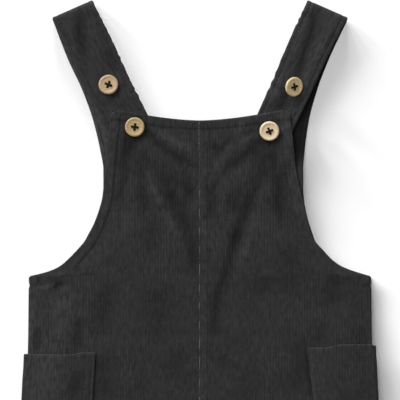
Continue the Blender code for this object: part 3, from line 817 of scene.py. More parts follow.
# the pale grey mixed in by wear and painted highlights; then each cloth's groove and crest colours
PALE_WEAR_AND_HIGHLIGHT = (0.062, 0.062, 0.063, 1.0)
body_cloth = make_corduroy("body_corduroy", grey(0.0125), grey(0.0312))
strap_cloth = make_corduroy("strap_corduroy", (0.014, 0.014, 0.0146, 1.0), (0.0305, 0.0305, 0.0314, 1.0))
pocket_cloth = make_corduroy("pocket_corduroy", grey(0.013), grey(0.029))
back_cloth = make_corduroy("back_corduroy", (0.014, 0.014, 0.0147, 1.0), (0.028, 0.028, 0.0293, 1.0))

# %% Sewing thread


def make_thread(name, colour):
    """Twisted thread: stripes wound round each stitch, as light and dark bands with a bump."""
    material, tree, shader = principled(name, Roughness=0.85, Specular_IOR_Level=0.15, Sheen_Weight=0.06)
    place = node(tree, "ShaderNodeTexCoord").outputs["Object"]
    twist = node(tree, "ShaderNodeTexWave", {"bands_direction": "DIAGONAL"}, Vector=place, Scale=900.0,
                 Distortion=1.5, Detail=1.0).outputs["Fac"]
    dark = tuple(0.5 * part for part in colour)
    tree.links.new(mix_colour(tree, twist, (*dark, 1.0), (*colour, 1.0)), shader.inputs["Base Color"])
    ridge = node(tree, "ShaderNodeBump", Height=twist, Strength=0.5, Distance=0.0001)
    tree.links.new(ridge.outputs["Normal"], shader.inputs["Normal"])
    return material


seam_thread = make_thread("charcoal_thread", (0.016, 0.016, 0.016))
pocket_thread = make_thread("grey_thread", (0.055, 0.055, 0.055))
# pale thread for the centre seam's long stitches, partly a painted highlight on the seam's edge
bright_thread = make_thread("pale_highlight_thread", (0.11, 0.11, 0.11))
button_thread = make_thread("button_thread", (0.011, 0.005, 0.004))

# %% Pale wood


def make_wood(name, light, dark, turn, offset):
    """Turned wood: long bands of grain across the face, fine fibres, and a satin finish."""
    material, tree, shader = principled(name, Roughness=0.42, Coat_Weight=0.15, Coat_Roughness=0.3)
    place = node(tree, "ShaderNodeTexCoord").outputs["Object"]
    turned = node(tree, "ShaderNodeMapping", Vector=place, Location=offset,
                  Rotation=(0.0, 0.0, math.radians(turn))).outputs["Vector"]
    bands = node(tree, "ShaderNodeTexWave", {"bands_direction": "X"}, Vector=turned, Scale=130.0,
                 Distortion=5.0, Detail=3.0, Detail_Scale=1.6).outputs["Fac"]
    stretched = node(tree, "ShaderNodeMapping", Vector=turned, Scale=(1.0, 0.12, 1.0)).outputs["Vector"]
    fibre = noise(tree, stretched, 2600.0, 3.0, 0.6)
    grain = mix_colour(tree, times(tree, bands, spread(tree, fibre, 0.15, 0.8)), light, dark)
    mottle = noise(tree, turned, 330.0, 2.0)
    warm = mix_colour(tree, spread(tree, mottle, 0.0, 0.45), grain, dark)
    tree.links.new(warm, shader.inputs["Base Color"])
    rough = node(tree, "ShaderNodeMapRange", Value=fibre, To_Min=0.34, To_Max=0.55).outputs["Result"]
    tree.links.new(rough, shader.inputs["Roughness"])
    bump = node(tree, "ShaderNodeBump", Height=fibre, Strength=0.25, Distance=0.0001)
    tree.links.new(bump.outputs["Normal"], shader.inputs["Normal"])
    return material


print("corduroy, thread and wood are ready")

# %% [markdown]
# ## The two front halves
# Columns sit a quarter of a rib apart, so that each rib has a crest, two flanks and a groove, and the
# rows are close only where the outline curves. Three more columns follow each edge, square to it, for
# the rounded rim.

# %% Grid of a panel
EDGE_ROUND = 0.8
EDGE_STEPS = np.array([0.8, 0.45, 0.15, 0.0])


def rows_between(levels, spacings):
    """Distances down from level to level, about a spacing apart in each stretch."""
    runs = [np.linspace(a, b, max(int(round((b - a) / s)), 1) + 1)[:-1]
            for a, b, s in zip(levels, levels[1:], spacings)]
    return np.concatenate(runs + [[levels[-1]]])


def panel_grid(side, downs, outer, spacing):
    """Columns on the ribs, pulled back to the outline, with edge columns that follow both outlines."""
    left = inner_edge(side, downs)
    right = outer(side, downs)
    slope = np.minimum(np.abs(outer(side, downs + 0.5) - outer(side, downs - 0.5)), 5.0)
    inset = EDGE_STEPS[None, :] * np.sqrt(1 + slope[:, None] ** 2)
    start = math.floor(left.min() / RIB) * RIB
    lines = np.arange(start, right.max(), spacing)
    body = np.clip(lines[None, :], left[:, None] + EDGE_ROUND, (right[:, None] - inset)[:, :1])
    across = np.hstack((left[:, None] + EDGE_STEPS[::-1][None, :-1], body, right[:, None] - inset))
    return across, np.repeat(downs[:, None], across.shape[1], axis=1)


def to_space(side, across, down, height):
    """Points in millimetres in the garment's own space."""
    return np.stack((SIDES[side] * across, SHOULDER - down, height), axis=-1)


def panel_rim(side, across, down, outer, top):
    """Share of the wall left near a panel's rims, of which the inner one starts at the crotch."""
    nearest = np.minimum(np.minimum(edge_distance(side, across, down, outer), down - top), LEG_END - down)
    to_inseam = np.where(down > CROTCH, across - inner_edge(side, down), np.inf)
    return rounded(np.minimum(nearest, to_inseam), EDGE_ROUND)


def front_face(side, across, down):
    """Height of the front's crests: underside, wall and small relief."""
    return front_under(side, across, down) + CLOTH + front_relief(side, across, down)


def seam_calm(distance):
    """How much a line of stitches flattens the ribs."""
    return 0.6 * bell(distance, 1.3)


def hem_calm(from_side, down, top):
    """The same for the hems along a panel's side and along its top."""
    return np.maximum(seam_calm(from_side - HEM) * (down < ARMHOLE_END), seam_calm(down - top - HEM))


# %% Painted shade, and wear with painted highlights, on the front
# per side: painted shade along the hem's stitches, a darker lower body, wear with a painted highlight at the
# cut edge, and a painted highlight on the hem band
FrontTone = namedtuple("FrontTone", "hem_press body_press edge_rub hem_rub hem_rub_from hem_rub_wide")
FRONT_TONES = {
    "left": FrontTone(0.4, 0.05, 0.22, 0.18, 3.5, 5.5),
    "right": FrontTone(0.12, 0.09, 0.6, 0.5, 5.0, 6.5),
}
MOST_PAINTED_SHADE = 0.95


def front_painted_shade(side, x, down, from_side, shade):
    """Painted shade in troughs and along the stitches' grooves; also a little darker over the lower body."""
    tone = FRONT_TONES[side]
    # painted shade in the creases' troughs, then along the grooves of the hem, bib-top and felled-seam
    # stitches
    press = np.clip(shade, 0, MOST_PAINTED_SHADE) * ease(from_side / 6.0)
    press += tone.hem_press * bell(from_side - HEM, 1.5) * beside_armhole(down)
    press += 0.25 * bell(down - BIB_TOP - HEM, 1.2)
    press += 0.15 * bell(x - FELL_STITCH, 1.0) * (down < CROTCH)
    # a little darker over the lower body
    press += tone.body_press * ease((down - 205.0) / 50.0)
    return np.clip(press, 0, MOST_PAINTED_SHADE)


def front_wear_and_highlight(side, across, x, down, from_side, shade):
    """Paler colour: wear and painted highlight at cut edges; painted highlights on seam, ridges, hem and
    left side.
    """
    tone = FRONT_TONES[side]
    # paler at the cut edges: wear, with a painted highlight where the rim catches the light
    edge = np.minimum(np.where(down < UNDERARM + 4, from_side, np.inf), down - BIB_TOP)
    rub = tone.edge_rub * bell(edge, 0.8)
    # painted highlights along the centre seam: the right half's raised edge, the felled strip and its folded
    # edge
    from_fell_top = ease((down - FELL_TOP) / 50.0)
    above_crotch = down < CROTCH
    patchy = np.clip(0.5 + soft_noise(down, 0.0 * down, 7.0, 23), 0, 1) * from_fell_top
    rub += 0.26 * patchy * bell(x - 0.4, 0.6) * above_crotch
    folded_edge = 0.4 * patchy * bell(x - FELL + 0.2, 0.7)
    rub += from_fell_top * above_crotch * (0.2 * bell(x - 4.2, 2.8) + folded_edge)
    # painted highlight on the creases' ridges
    rub += np.clip(-0.6 * shade, 0, 0.45) * ease(from_side / 6.0)
    # painted highlight on the hem band beside the bib, in blotches
    blotches = np.clip(0.6 + 0.9 * soft_noise(across, down, 13.0, 27), 0, 1)
    hem = bell(from_side - tone.hem_rub_from, tone.hem_rub_wide) * ease((215.0 - down) / 50.0)
    rub += tone.hem_rub * (0.3 + 0.7 * blotches) * hem
    # painted light on the left side, which faces the light: along its edge and over its outer part
    if side == "left":
        rub += 0.4 * bell(from_side, 6.0) * ease((down - UNDERARM) / 4.0)
        rub += 0.23 * ease((across - 92.0) / 26.0) * ease((down - UNDERARM) / 12.0) * blotches
    return np.clip(rub, 0, 1)


# %% Front halves


def make_front(side):
    """A front half: bib, body and leg in one piece of cloth. Its rows are closest at rims and curves."""
    downs = rows_between([BIB_TOP, BIB_TOP + 0.9, 106, 205, 252, LEG_END - 1, LEG_END],
                         [0.3, 1.3, 2.4, 1.5, 3.1, 0.3])
    across, down = panel_grid(side, downs, outer_edge, RIB / 4)
    from_side = edge_distance(side, across, down)
    x = SIDES[side] * across + SEAM_SHIFT
    calm = np.maximum(seam_calm(x), seam_calm(x - FELL_STITCH))
    calm = np.maximum(calm, hem_calm(from_side, down, BIB_TOP))
    rim = panel_rim(side, across, down, outer_edge, BIB_TOP)
    middle = front_under(side, across, down) + CLOTH / 2
    relief = CLOTH / 2 + front_relief(side, across, down) + rib_cut(across, down, calm)
    roll = SIDE_ROLL * (1 - rounded(from_side, SIDE_ROLL_WIDTH)) * ease((down - UNDERARM + 4.0) / 6.0)
    top = middle + relief * rim - roll
    low = middle - (CLOTH / 2) * rim
    placed = sag_top(across, down)
    shade = crease_sums(FRONT_CREASES, SIDES[side] * across, down)[1]
    plain = np.zeros_like(across)
    # point values: crest colour, wear with painted highlights, and painted shade
    return make_shell(
        f"cloth_front_{side}", to_space(side, across, placed, top), to_space(side, across, placed, low),
        {"crest": (rib_shade(across, down, calm), plain + UNDERSIDE_TONE),
         "rub": (front_wear_and_highlight(side, across, x, down, from_side, shade), plain),
         "press": (front_painted_shade(side, x, down, from_side, shade), plain)},
        np.stack((across, down), axis=-1), body_cloth)


fronts = {side: make_front(side) for side in SIDES}
for side, piece in fronts.items():
    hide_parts(f"front_{side}")

# %% [markdown]
# ## The two back halves
# The back lies face down, so its ribs are on its underside, their crests on the floor. Its upper face
# is the wrong side of the cloth, which is plain. It shows as a sliver beside the bib.

# %% Back halves
BACK_CREASES = [
    Crease([(-6, 430), (-46, 416), (-92, 412)], 9, 0.35),
    Crease([(5, 432), (52, 424), (88, 410)], 8, 0.3),
    Crease([(-60, 210), (-52, 250), (-58, 290)], 12, 0.3),
    Crease([(48, 200), (62, 246), (54, 300)], 12, 0.35),
    Crease([(-120, 505), (-80, 512), (-40, 504)], 8, 0.35),
    Crease([(44, 500), (90, 508), (132, 500)], 9, 0.3),
    Crease([(-96, 560), (-90, 612)], 12, 0.3),
    Crease([(88, 560), (84, 612)], 12, 0.3),
    Crease([(-10, 182), (-2, 200), (6, 222)], 7, 0.3),
]
# painted light and shade on the back's upper face, seen as the sliver beside the bib: paler on the left,
# facing the light, darker on the right in the bib's shadow; and wear with a painted highlight at the cut
# edge, stronger on the left
BackTone = namedtuple("BackTone", "face edge_rub")
BACK_TONES = {"left": BackTone(0.55, 0.5), "right": BackTone(0.3, 0.15)}


def make_back(side):
    """A back half, from its neckline to the leg hem. Creases are shallow hollows in its underside."""
    downs = rows_between([BACK_TOP, BACK_TOP + 0.9, 205, 252, LEG_END - 1, LEG_END],
                         [0.3, 3.0, 2.0, 4.5, 0.3])
    across, down = panel_grid(side, downs, back_outer_edge, RIB / 2)
    under = back_under(side, across, down)
    from_side = edge_distance(side, across, down, back_outer_edge)
    rim = panel_rim(side, across, down, back_outer_edge, BACK_TOP)
    hollow = crease_height(BACK_CREASES, SIDES[side] * across, down) * ease(from_side / 10.0)
    calm = np.maximum(hem_calm(from_side, down, BACK_TOP), seam_calm(LEG_END - down - LEG_HEM))
    groove = 0.25 * calm
    middle = under + CLOTH / 2
    low = middle - (CLOTH / 2) * rim + hollow + (groove - rib_cut(across, down, calm)) * rim
    top = middle + (CLOTH / 2) * rim
    placed = scoop_back(across, down)
    plain = np.zeros_like(across)
    face_tone, edge_rub = BACK_TONES[side]
    rub = edge_rub * bell(from_side, 0.9) * (down < UNDERARM + 4)
    return make_shell(
        f"cloth_back_{side}", to_space(side, across, placed, top), to_space(side, across, placed, low),
        {"crest": (plain + face_tone, rib_shade(across, down, calm)), "rub": (rub, rub),
         "press": (plain, plain)},
        np.stack((across, down), axis=-1), back_cloth)


backs = {side: make_back(side) for side in SIDES}
for side, piece in backs.items():
    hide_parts(f"back_{side}")

# %% [markdown]
# ## The straps
# A strap is a tube of cloth pressed flat and topstitched. It is sewn to the back, runs up to the
# shoulder, folds over, and comes down on itself to pass under the bib, where its buttonhole takes the
# lower button. Its ribs run along it. The pattern is a row of cross sections, each with its outer and
# inner end and its height, and the cloth is carried along them.

# %% Sections of the straps
Section = namedtuple("Section", "outer_across outer_down inner_across inner_down under")
BACK_RUN = {
    "left": [
        Section(84.2, 168.2, 46.0, 168.2, 0.0),
        Section(84.2, 148.0, 45.6, 146.0, 0.0),
        Section(87.0, 130.0, 46.8, 125.0, 0.0),
        Section(93.2, 104.4, 53.0, 98.0, 0.0),
        Section(102.5, 78.3, 63.4, 66.0, 0.0),
        Section(114.7, 52.2, 76.0, 38.0, 0.0),
        Section(127.6, 19.0, 92.2, 3.4, 0.0),
    ],
    "right": [
        Section(89.9, 168.2, 49.0, 168.2, 0.0),
        Section(89.9, 148.0, 48.6, 146.0, 0.0),
        Section(91.3, 130.0, 50.2, 125.0, 0.0),
        Section(95.0, 104.4, 55.6, 98.0, 0.0),
        Section(102.1, 78.3, 65.4, 66.0, 0.0),
        Section(112.0, 52.2, 77.8, 38.0, 0.0),
        Section(127.6, 19.0, 92.2, 3.4, 0.0),
    ],
}
FRONT_RUN = {
    "left": [
        Section(126.6, 18.6, 92.2, 3.4, 5.4),
        Section(112.1, 50.0, 75.9, 36.0, 4.0),
        Section(95.8, 83.0, 61.4, 68.0, 3.4),
        Section(86.0, 103.5, 51.3, 88.0, 2.8),
        Section(75.6, 125.0, 40.7, 110.0, 2.4),
        Section(57.6, 162.0, 25.0, 147.5, 2.4),
    ],
    "right": [
        Section(126.6, 18.6, 92.2, 3.4, 5.4),
        Section(110.8, 50.0, 77.2, 36.0, 4.0),
        Section(95.8, 82.7, 63.9, 68.0, 3.4),
        Section(85.6, 103.5, 54.9, 88.0, 2.8),
        Section(75.6, 125.0, 45.0, 110.0, 2.4),
        Section(57.6, 162.0, 26.6, 147.5, 2.4),
    ],
}
STRAP_CREASES = {
    "left": [
        Crease([(-103, 7), (-104, 28), (-101, 45), (-96, 58)], 5.6, -1.4, 0.7, 0.2),
        Crease([(-112, 18), (-109, 36), (-104, 54)], 6.0, 0.6),
        Crease([(-94, 14), (-90, 36), (-84, 56)], 5.0, 0.6),
        Crease([(-81, 42), (-76, 54), (-74, 66)], 4.8, -0.7, 0.5),
        Crease([(-86, 62), (-78, 74), (-70, 92)], 4.5, -0.6),
        Crease([(-101, 58), (-97, 70)], 4.0, -0.5),
    ],
    "right": [
        Crease([(102, 4), (97, 31), (91, 48), (85, 70), (81, 80)], 4.6, -1.3, 0.62, 0.2),
        Crease([(114, 16), (106, 40), (99, 58)], 6.0, 0.7),
        Crease([(98, 10), (88, 34), (81, 56)], 5.0, 0.4),
        Crease([(78, 78), (73, 87), (66, 98)], 3.4, -0.8, 0.9),
        Crease([(67, 74), (63, 84), (58, 93)], 4.0, 0.4, -0.6),
        Crease([(92, 62), (86, 78), (80, 94)], 4.5, 0.4, -0.5),
    ],
}
STRAP_COLUMNS = 72
STRAP_WIDTH = 38.0      # the width that its columns are spaced for
ROWS_PER_SECTION = 12
FOLD_ROWS = 12
STRAP_ROUND = 1.1
STRAP_STITCH = 4.2
STRAP_GROOVE = 0.35
STRAP_RIPPLE_PITCH = 7.5
Dressed = namedtuple("Dressed", "piece face normal across")

# %% Carry the strap's section along its runs


def run_grid(side, sections, shares):
    """Middle of a flat run: ends eased from section to section, points between them by their shares."""
    knots = np.arange(len(sections), dtype=float)
    at = np.linspace(0, len(sections) - 1, (len(sections) - 1) * ROWS_PER_SECTION + 1)
    eased = Section(*(smooth_curve(knots, column(sections, name), at)[:, None] for name in Section._fields))
    across = eased.outer_across + (eased.inner_across - eased.outer_across) * shares
    down = eased.outer_down + (eased.inner_down - eased.outer_down) * shares
    height = np.repeat(eased.under + STRAP_CLOTH / 2, len(shares), axis=1)
    return to_space(side, across, down, height)


def fold_grid(first, last):
    """Half turn between two rows that lie one above the other: a half circle square to the strap."""
    centre = (first + last) / 2
    radius = np.linalg.norm(last - first, axis=-1, keepdims=True) / 2
    up = (last - first) / (2 * radius)
    edge = first[-1] - first[0]
    outward = np.cross(edge / np.linalg.norm(edge), np.array([0.0, 0.0, 1.0]))
    outward *= np.sign(outward[1])
    angles = np.linspace(-math.pi / 2, math.pi / 2, FOLD_ROWS + 1)[1:-1, None, None]
    return centre + radius * (np.cos(angles) * outward + np.sin(angles) * up)


def grid_normals(grid):
    """Unit normals of a grid: the cross product of its two directions."""
    normal = np.cross(np.gradient(grid, axis=0), np.gradient(grid, axis=1))
    return normal / np.linalg.norm(normal, axis=-1, keepdims=True)


def edge_columns(width, count, radius):
    """Shares across a strip, evenly spaced but with three closer columns at each edge."""
    steps = np.array([0.0, 0.15, 0.5]) * radius / width
    body = np.linspace(radius / width, 1 - radius / width, count)
    return np.concatenate((steps, body, 1 - steps[::-1]))


def strap_wear_and_highlight(side, from_outer, from_inner, shade, above_bib, front_rows, over_fold):
    """How pale a strap is: wear with painted highlights at edges and stitches, painted highlights on ridges
    and fold.
    """
    # paler at the edges and along the inner stitches: wear with a painted highlight
    rub = np.clip(0.35 * bell(from_inner, 1.2) + 0.25 * bell(from_outer, 1.0)
                  + 0.15 * bell(from_inner - STRAP_STITCH, 0.9), 0, 1)
    # painted highlight on ridges above the bib
    rub = np.clip(rub + above_bib * np.clip(-0.6 * shade, 0, 0.3), 0, 1)
    # paler all over the front run, most near the right strap's outer edge
    paled = 0.09 if side == "left" else 0.24 * bell(from_outer - 6.0, 6.0) + 0.1
    rub = np.clip(rub + front_rows * paled, 0, 1)
    # painted highlight on the shoulder fold's top, where the light falls
    return np.clip(rub + 0.28 * over_fold, 0, 1)


# %% Straps


def make_strap(side):
    """A strap: back run, shoulder fold and front run, with puckered stitched edges and its creases."""
    shares = edge_columns(STRAP_WIDTH, STRAP_COLUMNS, STRAP_ROUND)
    back = run_grid(side, BACK_RUN[side], shares)
    front = run_grid(side, FRONT_RUN[side], shares)
    middle = np.concatenate((back, fold_grid(back[-1], front[0]), front))
    width = np.linalg.norm(middle[:, 0] - middle[:, -1], axis=-1)[:, None]
    step = np.linalg.norm(np.diff(middle[:, len(shares) // 2], axis=0), axis=-1)
    along = np.concatenate(([0.0], np.cumsum(step)))[:, None] + 0 * shares
    from_outer = shares * width
    from_inner = width - from_outer
    down = SHOULDER - middle[:, :, 1]
    row = np.arange(len(middle))[:, None]
    on_back = (row < len(back)) * ease((150.0 - down) / 20.0)
    over_fold = (row > len(back)) * ease((15.0 - down) / 9.0)
    front_rows = row > len(back) + FOLD_ROWS // 2
    above_bib = front_rows * ease((94.0 - down) / 12.0)

    creases, shade = crease_sums(STRAP_CREASES[side], middle[:, :, 0], down)
    arch = 0.9 * ease(from_outer / 9.0) * ease(from_inner / 9.0) * ease((down - 6.0) / 14.0)
    wobble = soft_noise(along, 0 * along, 8.0, 31 + SIDES[side])
    ripple = np.sin(2 * np.pi * along / STRAP_RIPPLE_PITCH + 2.5 * wobble) * (0.7 + 0.6 * wobble)
    pucker = 0.3 * ripple * bell(from_inner - 2.5, 3.5) + 0.1 * ripple * bell(from_outer - 2.5, 3.0)
    middle[:, :, 2] += above_bib * (creases + arch + pucker)
    towards_inner = (middle[:, -1] - middle[:, 0]) / width
    middle += towards_inner[:, None, :] * (0.4 * ripple * bell(from_inner, 3.0) * above_bib)[:, :, None]

    line_out = from_outer - STRAP_STITCH
    line_in = from_inner - STRAP_STITCH
    calm = np.maximum(seam_calm(line_out), seam_calm(line_in))
    groove = -STRAP_GROOVE * (bell(line_out, 0.9) + bell(line_in, 0.9))
    rim = rounded(np.minimum(from_outer, from_inner), STRAP_ROUND)
    rim = rim * rounded(np.minimum(along, along.max() - along) + 0.1, STRAP_ROUND)
    normal = grid_normals(middle)
    normal *= np.sign(normal[-1, 0, 2])
    lift = (STRAP_CLOTH / 2 + groove + 0.7 * rib_cut(from_outer, along, calm)) * rim
    thinned = 0.9 * bell(from_outer, 10.0) * on_back
    face = middle + normal * lift[:, :, None]
    under = middle - normal * (lift - thinned)[:, :, None]
    face[:, :, 2] = np.maximum(face[:, :, 2], 0.0)
    under[:, :, 2] = np.maximum(under[:, :, 2], 0.0)

    crest = 0.52 + 0.5 * (rib_shade(from_outer, along, calm) - 0.52)
    rub = strap_wear_and_highlight(side, from_outer, from_inner, shade, above_bib, front_rows, over_fold)
    # painted shadow: the right strap's back run, the sliver beside the bib, is painted dark as in the bib's
    # shadow; the left one is painted lighter as a highlight, facing the light
    dark = on_back * (side == "right")      # the sliver of the back run that shows beside the bib
    pale = 0.7 * on_back * (side == "left")
    piece = make_shell(
        f"cloth_strap_{side}", face, under,
        {"crest": (crest, crest * (1 - 0.85 * dark)), "rub": (rub, np.clip(rub * (1 - dark) + pale, 0, 1)),
         "press": (np.clip(shade, 0, 0.9) * front_rows, dark)},
        np.stack((from_outer, along), axis=-1), strap_cloth)
    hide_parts(f"strap_{side}")
    return Dressed(piece, face, normal, np.broadcast_to(shares * STRAP_WIDTH, down.shape))


straps = {side: make_strap(side) for side in SIDES}

# %% [markdown]
# ## The patch pockets
# Each pocket lies over the side seam: its front leaf shows, and its back leaf goes round under the
# garment. It is the front's own surface moved out by one cloth, swelling a little at its mouth, so it
# sits on the panel as a sewn patch does.

# %% Sizes of the pockets, and their two leaves
POCKET_FLOAT = 0.9
POCKET_BELLY = 0.8
POCKET_LEAF = 57.0      # the width that a leaf's columns are spaced for
POCKET_COLUMNS = 130
TURN_COLUMNS = 9
BACK_LEAF_COLUMNS = 44
POCKET_CREASES = [
    Crease([(-102, 322), (-106, 334), (-111, 352)], 6, -1.0, 0.45),
    Crease([(-130, 322), (-136, 352)], 9, 0.5),
    Crease([(-120, 352), (-116, 384)], 8, -0.6),
    Crease([(118, 322), (126, 350), (122, 384)], 9, -0.5),
    Crease([(136, 316), (140, 350)], 8, 0.4),
]
POCKET_STITCHES = (2.2, 8.0)
POCKET_GROOVE = 0.3
POCKET_RIPPLE_PITCH = 6.5


def pocket_edges(side, downs):
    """Inner and outer end of each row of a pocket: its slanted line and the garment's side."""
    return pocket_line(side, downs)[:, None], outer_edge(side, downs)[:, None]


def pocket_front_leaf(side, downs):
    """Middle of the front leaf, the front's surface with a swell and creases, and the creases' shade."""
    pocket = POCKETS[side]
    inner, outer = pocket_edges(side, downs)
    share = edge_columns(POCKET_LEAF, POCKET_COLUMNS, EDGE_ROUND)[:-3]
    share = share / share[-1]
    across = inner + (outer - inner) * share
    down = np.repeat(downs[:, None], across.shape[1], axis=1)
    risen = pocket.rise * ease((across - pocket.rise_from) / (pocket.rise_to - pocket.rise_from))
    down = down - risen * (1 - ease((down - pocket.down) / 40.0))
    mouth = ease((pocket.down + POCKET_TALL - down) / 40.0)
    swell = (POCKET_FLOAT * mouth + POCKET_BELLY) * np.sin(math.pi * share)
    creases, shade = crease_sums(POCKET_CREASES, SIDES[side] * across, down)
    creases = creases * ease((across - inner) / 9.0) * ease((outer - across) / 6.0)
    base = front_under(side, across, down) + CLOTH + GAP + CLOTH / 2
    height = base + np.maximum(swell + creases, 0.0)
    return to_space(side, across, down, height), np.clip(shade, 0, 0.9) * ease((outer - across) / 6.0)


def pocket_back_leaf(side, downs):
    """Middle of the back leaf, which lies flat on the floor from the side seam inwards."""
    inner, outer = pocket_edges(side, downs)
    across = inner + (outer - inner) * np.linspace(1.0, 0.0, BACK_LEAF_COLUMNS)
    down = np.repeat(downs[:, None], BACK_LEAF_COLUMNS, axis=1)
    return to_space(side, across, down, np.full_like(across, CLOTH / 2))


def turn_round(side, first, last):
    """Half circle from one leaf's last column to the other's first, a quarter wider than round."""
    centre = ((first + last) / 2)[:, None]
    radius = ((first - last)[:, 2] / 2)[:, None]
    angles = np.linspace(math.pi / 2, -math.pi / 2, TURN_COLUMNS)[None, 1:-1]
    turn = np.repeat(centre, angles.shape[1], axis=1)
    turn[:, :, 0] += SIDES[side] * radius * np.cos(angles) * 1.25
    turn[:, :, 2] += radius * np.sin(angles)
    return turn


# %% Pockets


def make_pocket(side):
    """Patch pocket: front leaf, half circle round the side seam, and back leaf, in one strip of cloth."""
    pocket = POCKETS[side]
    bottom = pocket.down + POCKET_TALL
    downs = rows_between([pocket.down, pocket.down + 0.9, bottom - 0.9, bottom], [0.3, 2.6, 0.3])
    front_leaf, front_shade = pocket_front_leaf(side, downs)
    back_leaf = pocket_back_leaf(side, downs)
    turn = turn_round(side, front_leaf[:, -1], back_leaf[:, 0])
    middle = np.concatenate((front_leaf, turn, back_leaf), axis=1)
    step = np.linalg.norm(np.diff(middle, axis=1), axis=-1)
    from_inner = np.concatenate((np.zeros((len(middle), 1)), np.cumsum(step, axis=1)), axis=1)
    to_back = from_inner[:, -1:] - from_inner
    down = np.repeat(downs[:, None], middle.shape[1], axis=1)
    shows = (np.arange(middle.shape[1]) < front_leaf.shape[1])[None, :]

    lines = [from_inner - place for place in POCKET_STITCHES]
    calm = np.maximum(seam_calm(lines[0]), seam_calm(lines[1]))
    groove = -POCKET_GROOVE * (bell(lines[0], 0.8) + bell(lines[1], 0.8))
    wobble = soft_noise(down, from_inner * 0.2, 8.0, 41)
    ripple = 0.16 * np.sin(2 * np.pi * down / POCKET_RIPPLE_PITCH + 2.5 * wobble)
    ripple = ripple * bell(from_inner - 5.0, 5.0)
    rib_place = np.where(shows, np.abs(middle[:, :, 0]), from_inner)
    rim = rounded(np.minimum(np.minimum(from_inner, to_back), np.minimum(down - pocket.down, bottom - down)),
                  EDGE_ROUND)
    normal = grid_normals(middle)
    normal *= np.sign(normal[len(normal) // 2, 4, 2])
    lift = (CLOTH / 2 + groove * shows + rib_cut(rib_place, down, calm)) * rim
    middle[:, :, 2] += np.maximum(ripple, 0) * shows
    face = middle + normal * lift[:, :, None]
    under = middle - normal * (CLOTH / 2 * rim)[:, :, None]
    face[:, :, 2] = np.maximum(face[:, :, 2], 0.0)

    # paler mouth, inner edge and first stitch line: wear with a painted highlight; the left pocket's outer
    # part is painted lighter, facing the light
    edge = np.minimum(from_inner, down - pocket.down)
    rub = 0.3 * bell(down - pocket.down, 0.7) + 0.3 * bell(edge, 0.8) + 0.2 * bell(lines[0], 0.8)
    if side == "left":
        rub = np.clip(rub, 0, 1) + 0.2 * shows * ease((np.abs(middle[:, :, 0]) - 106.0) / 26.0)
    plain = np.zeros_like(rub)
    # painted shade in the creases' troughs of the front leaf
    troughs = np.zeros_like(rub)
    troughs[:, :front_leaf.shape[1]] = front_shade
    piece = make_shell(
        f"cloth_pocket_{side}", face, under,
        {"crest": (rib_shade(rib_place, down, calm), plain + UNDERSIDE_TONE),
         "rub": (np.clip(rub, 0, 1), plain), "press": (troughs, plain)},
        np.stack((from_inner, down), axis=-1), pocket_cloth)
    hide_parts(f"pocket_{side}")
    return Dressed(piece, face, normal, from_inner)


pockets = {side: make_pocket(side) for side in SIDES}

# %% [markdown]
# ## Topstitching
# Every hem and seam is held by a line of stitches that shows. A stitch is a short length of thread:
# round in section, arched in the middle, its ends pulled into the cloth. One stitch is a few dozen
# faces, worked out once and laid down many hundred times by arrays, all in one mesh for each piece.

# %% Lay one stitch many times
STITCH = 2.7
STITCH_PITCH = 3.4
THREAD = 0.26
RINGS = 5
SIDES_OF_THREAD = 6
DRIFT = 0.12            # how far stitches stray sideways
SUNK_SHARE = 0.4        # the share of the stitches that sit sunk, where any do


def ring_faces(ids):
    """Triangles between neighbouring rings of numbered points, each ring closed on itself."""
    after = np.roll(ids, -1, axis=1)
    a, b, c, d = (part.ravel() for part in (ids[:-1], after[:-1], after[1:], ids[1:]))
    return np.concatenate((np.stack((a, b, c), axis=1), np.stack((a, c, d), axis=1)))


def rod_faces(count, sides):
    """Triangles of a row of rings, with a fan over each end."""
    ids = np.arange(count * sides).reshape(count, sides)
    fan = np.arange(1, sides - 1)
    near = np.stack((0 * fan, fan + 1, fan), axis=1)
    far = np.stack((0 * fan, fan, fan + 1), axis=1) + ids[-1, 0]
    return np.concatenate((ring_faces(ids), near, far))


def stitch_template():
    """A stitch along X, 1 long: rings round an arch, thin at its ends. Gives ring points and faces."""
    t = np.linspace(-0.5, 0.5, RINGS)
    thick = np.array([0.25, 0.9, 1.0, 0.9, 0.25])
    arch = np.array([-1.0, 0.25, 0.6, 0.25, -1.0])
    turn = np.linspace(0, 2 * math.pi, SIDES_OF_THREAD, endpoint=False)
    along = np.repeat(t, SIDES_OF_THREAD)
    aside = np.outer(thick, np.cos(turn)).ravel()
    up = (np.outer(thick, np.sin(turn)) + arch[:, None]).ravel()
    return along, aside, up, rod_faces(RINGS, SIDES_OF_THREAD)


def resample(path, normals, pitch):
    """Evenly spaced points of a path with their directions and normals."""
    step = np.linalg.norm(np.diff(path, axis=0), axis=1)
    length = np.concatenate(([0.0], np.cumsum(step)))
    count = max(int(length[-1] / pitch), 2)
    at = (np.arange(count) + 0.5) * length[-1] / count
    ahead, behind = np.minimum(at + 1.2, length[-1]), np.maximum(at - 1.2, 0.0)
    place = np.stack([np.interp(at, length, path[:, k]) for k in range(3)], axis=1)
    direction = np.stack([np.interp(ahead, length, path[:, k]) - np.interp(behind, length, path[:, k])
                          for k in range(3)], axis=1)
    up = np.stack([np.interp(at, length, normals[:, k]) for k in range(3)], axis=1)
    return place, direction / np.linalg.norm(direction, axis=1, keepdims=True), up


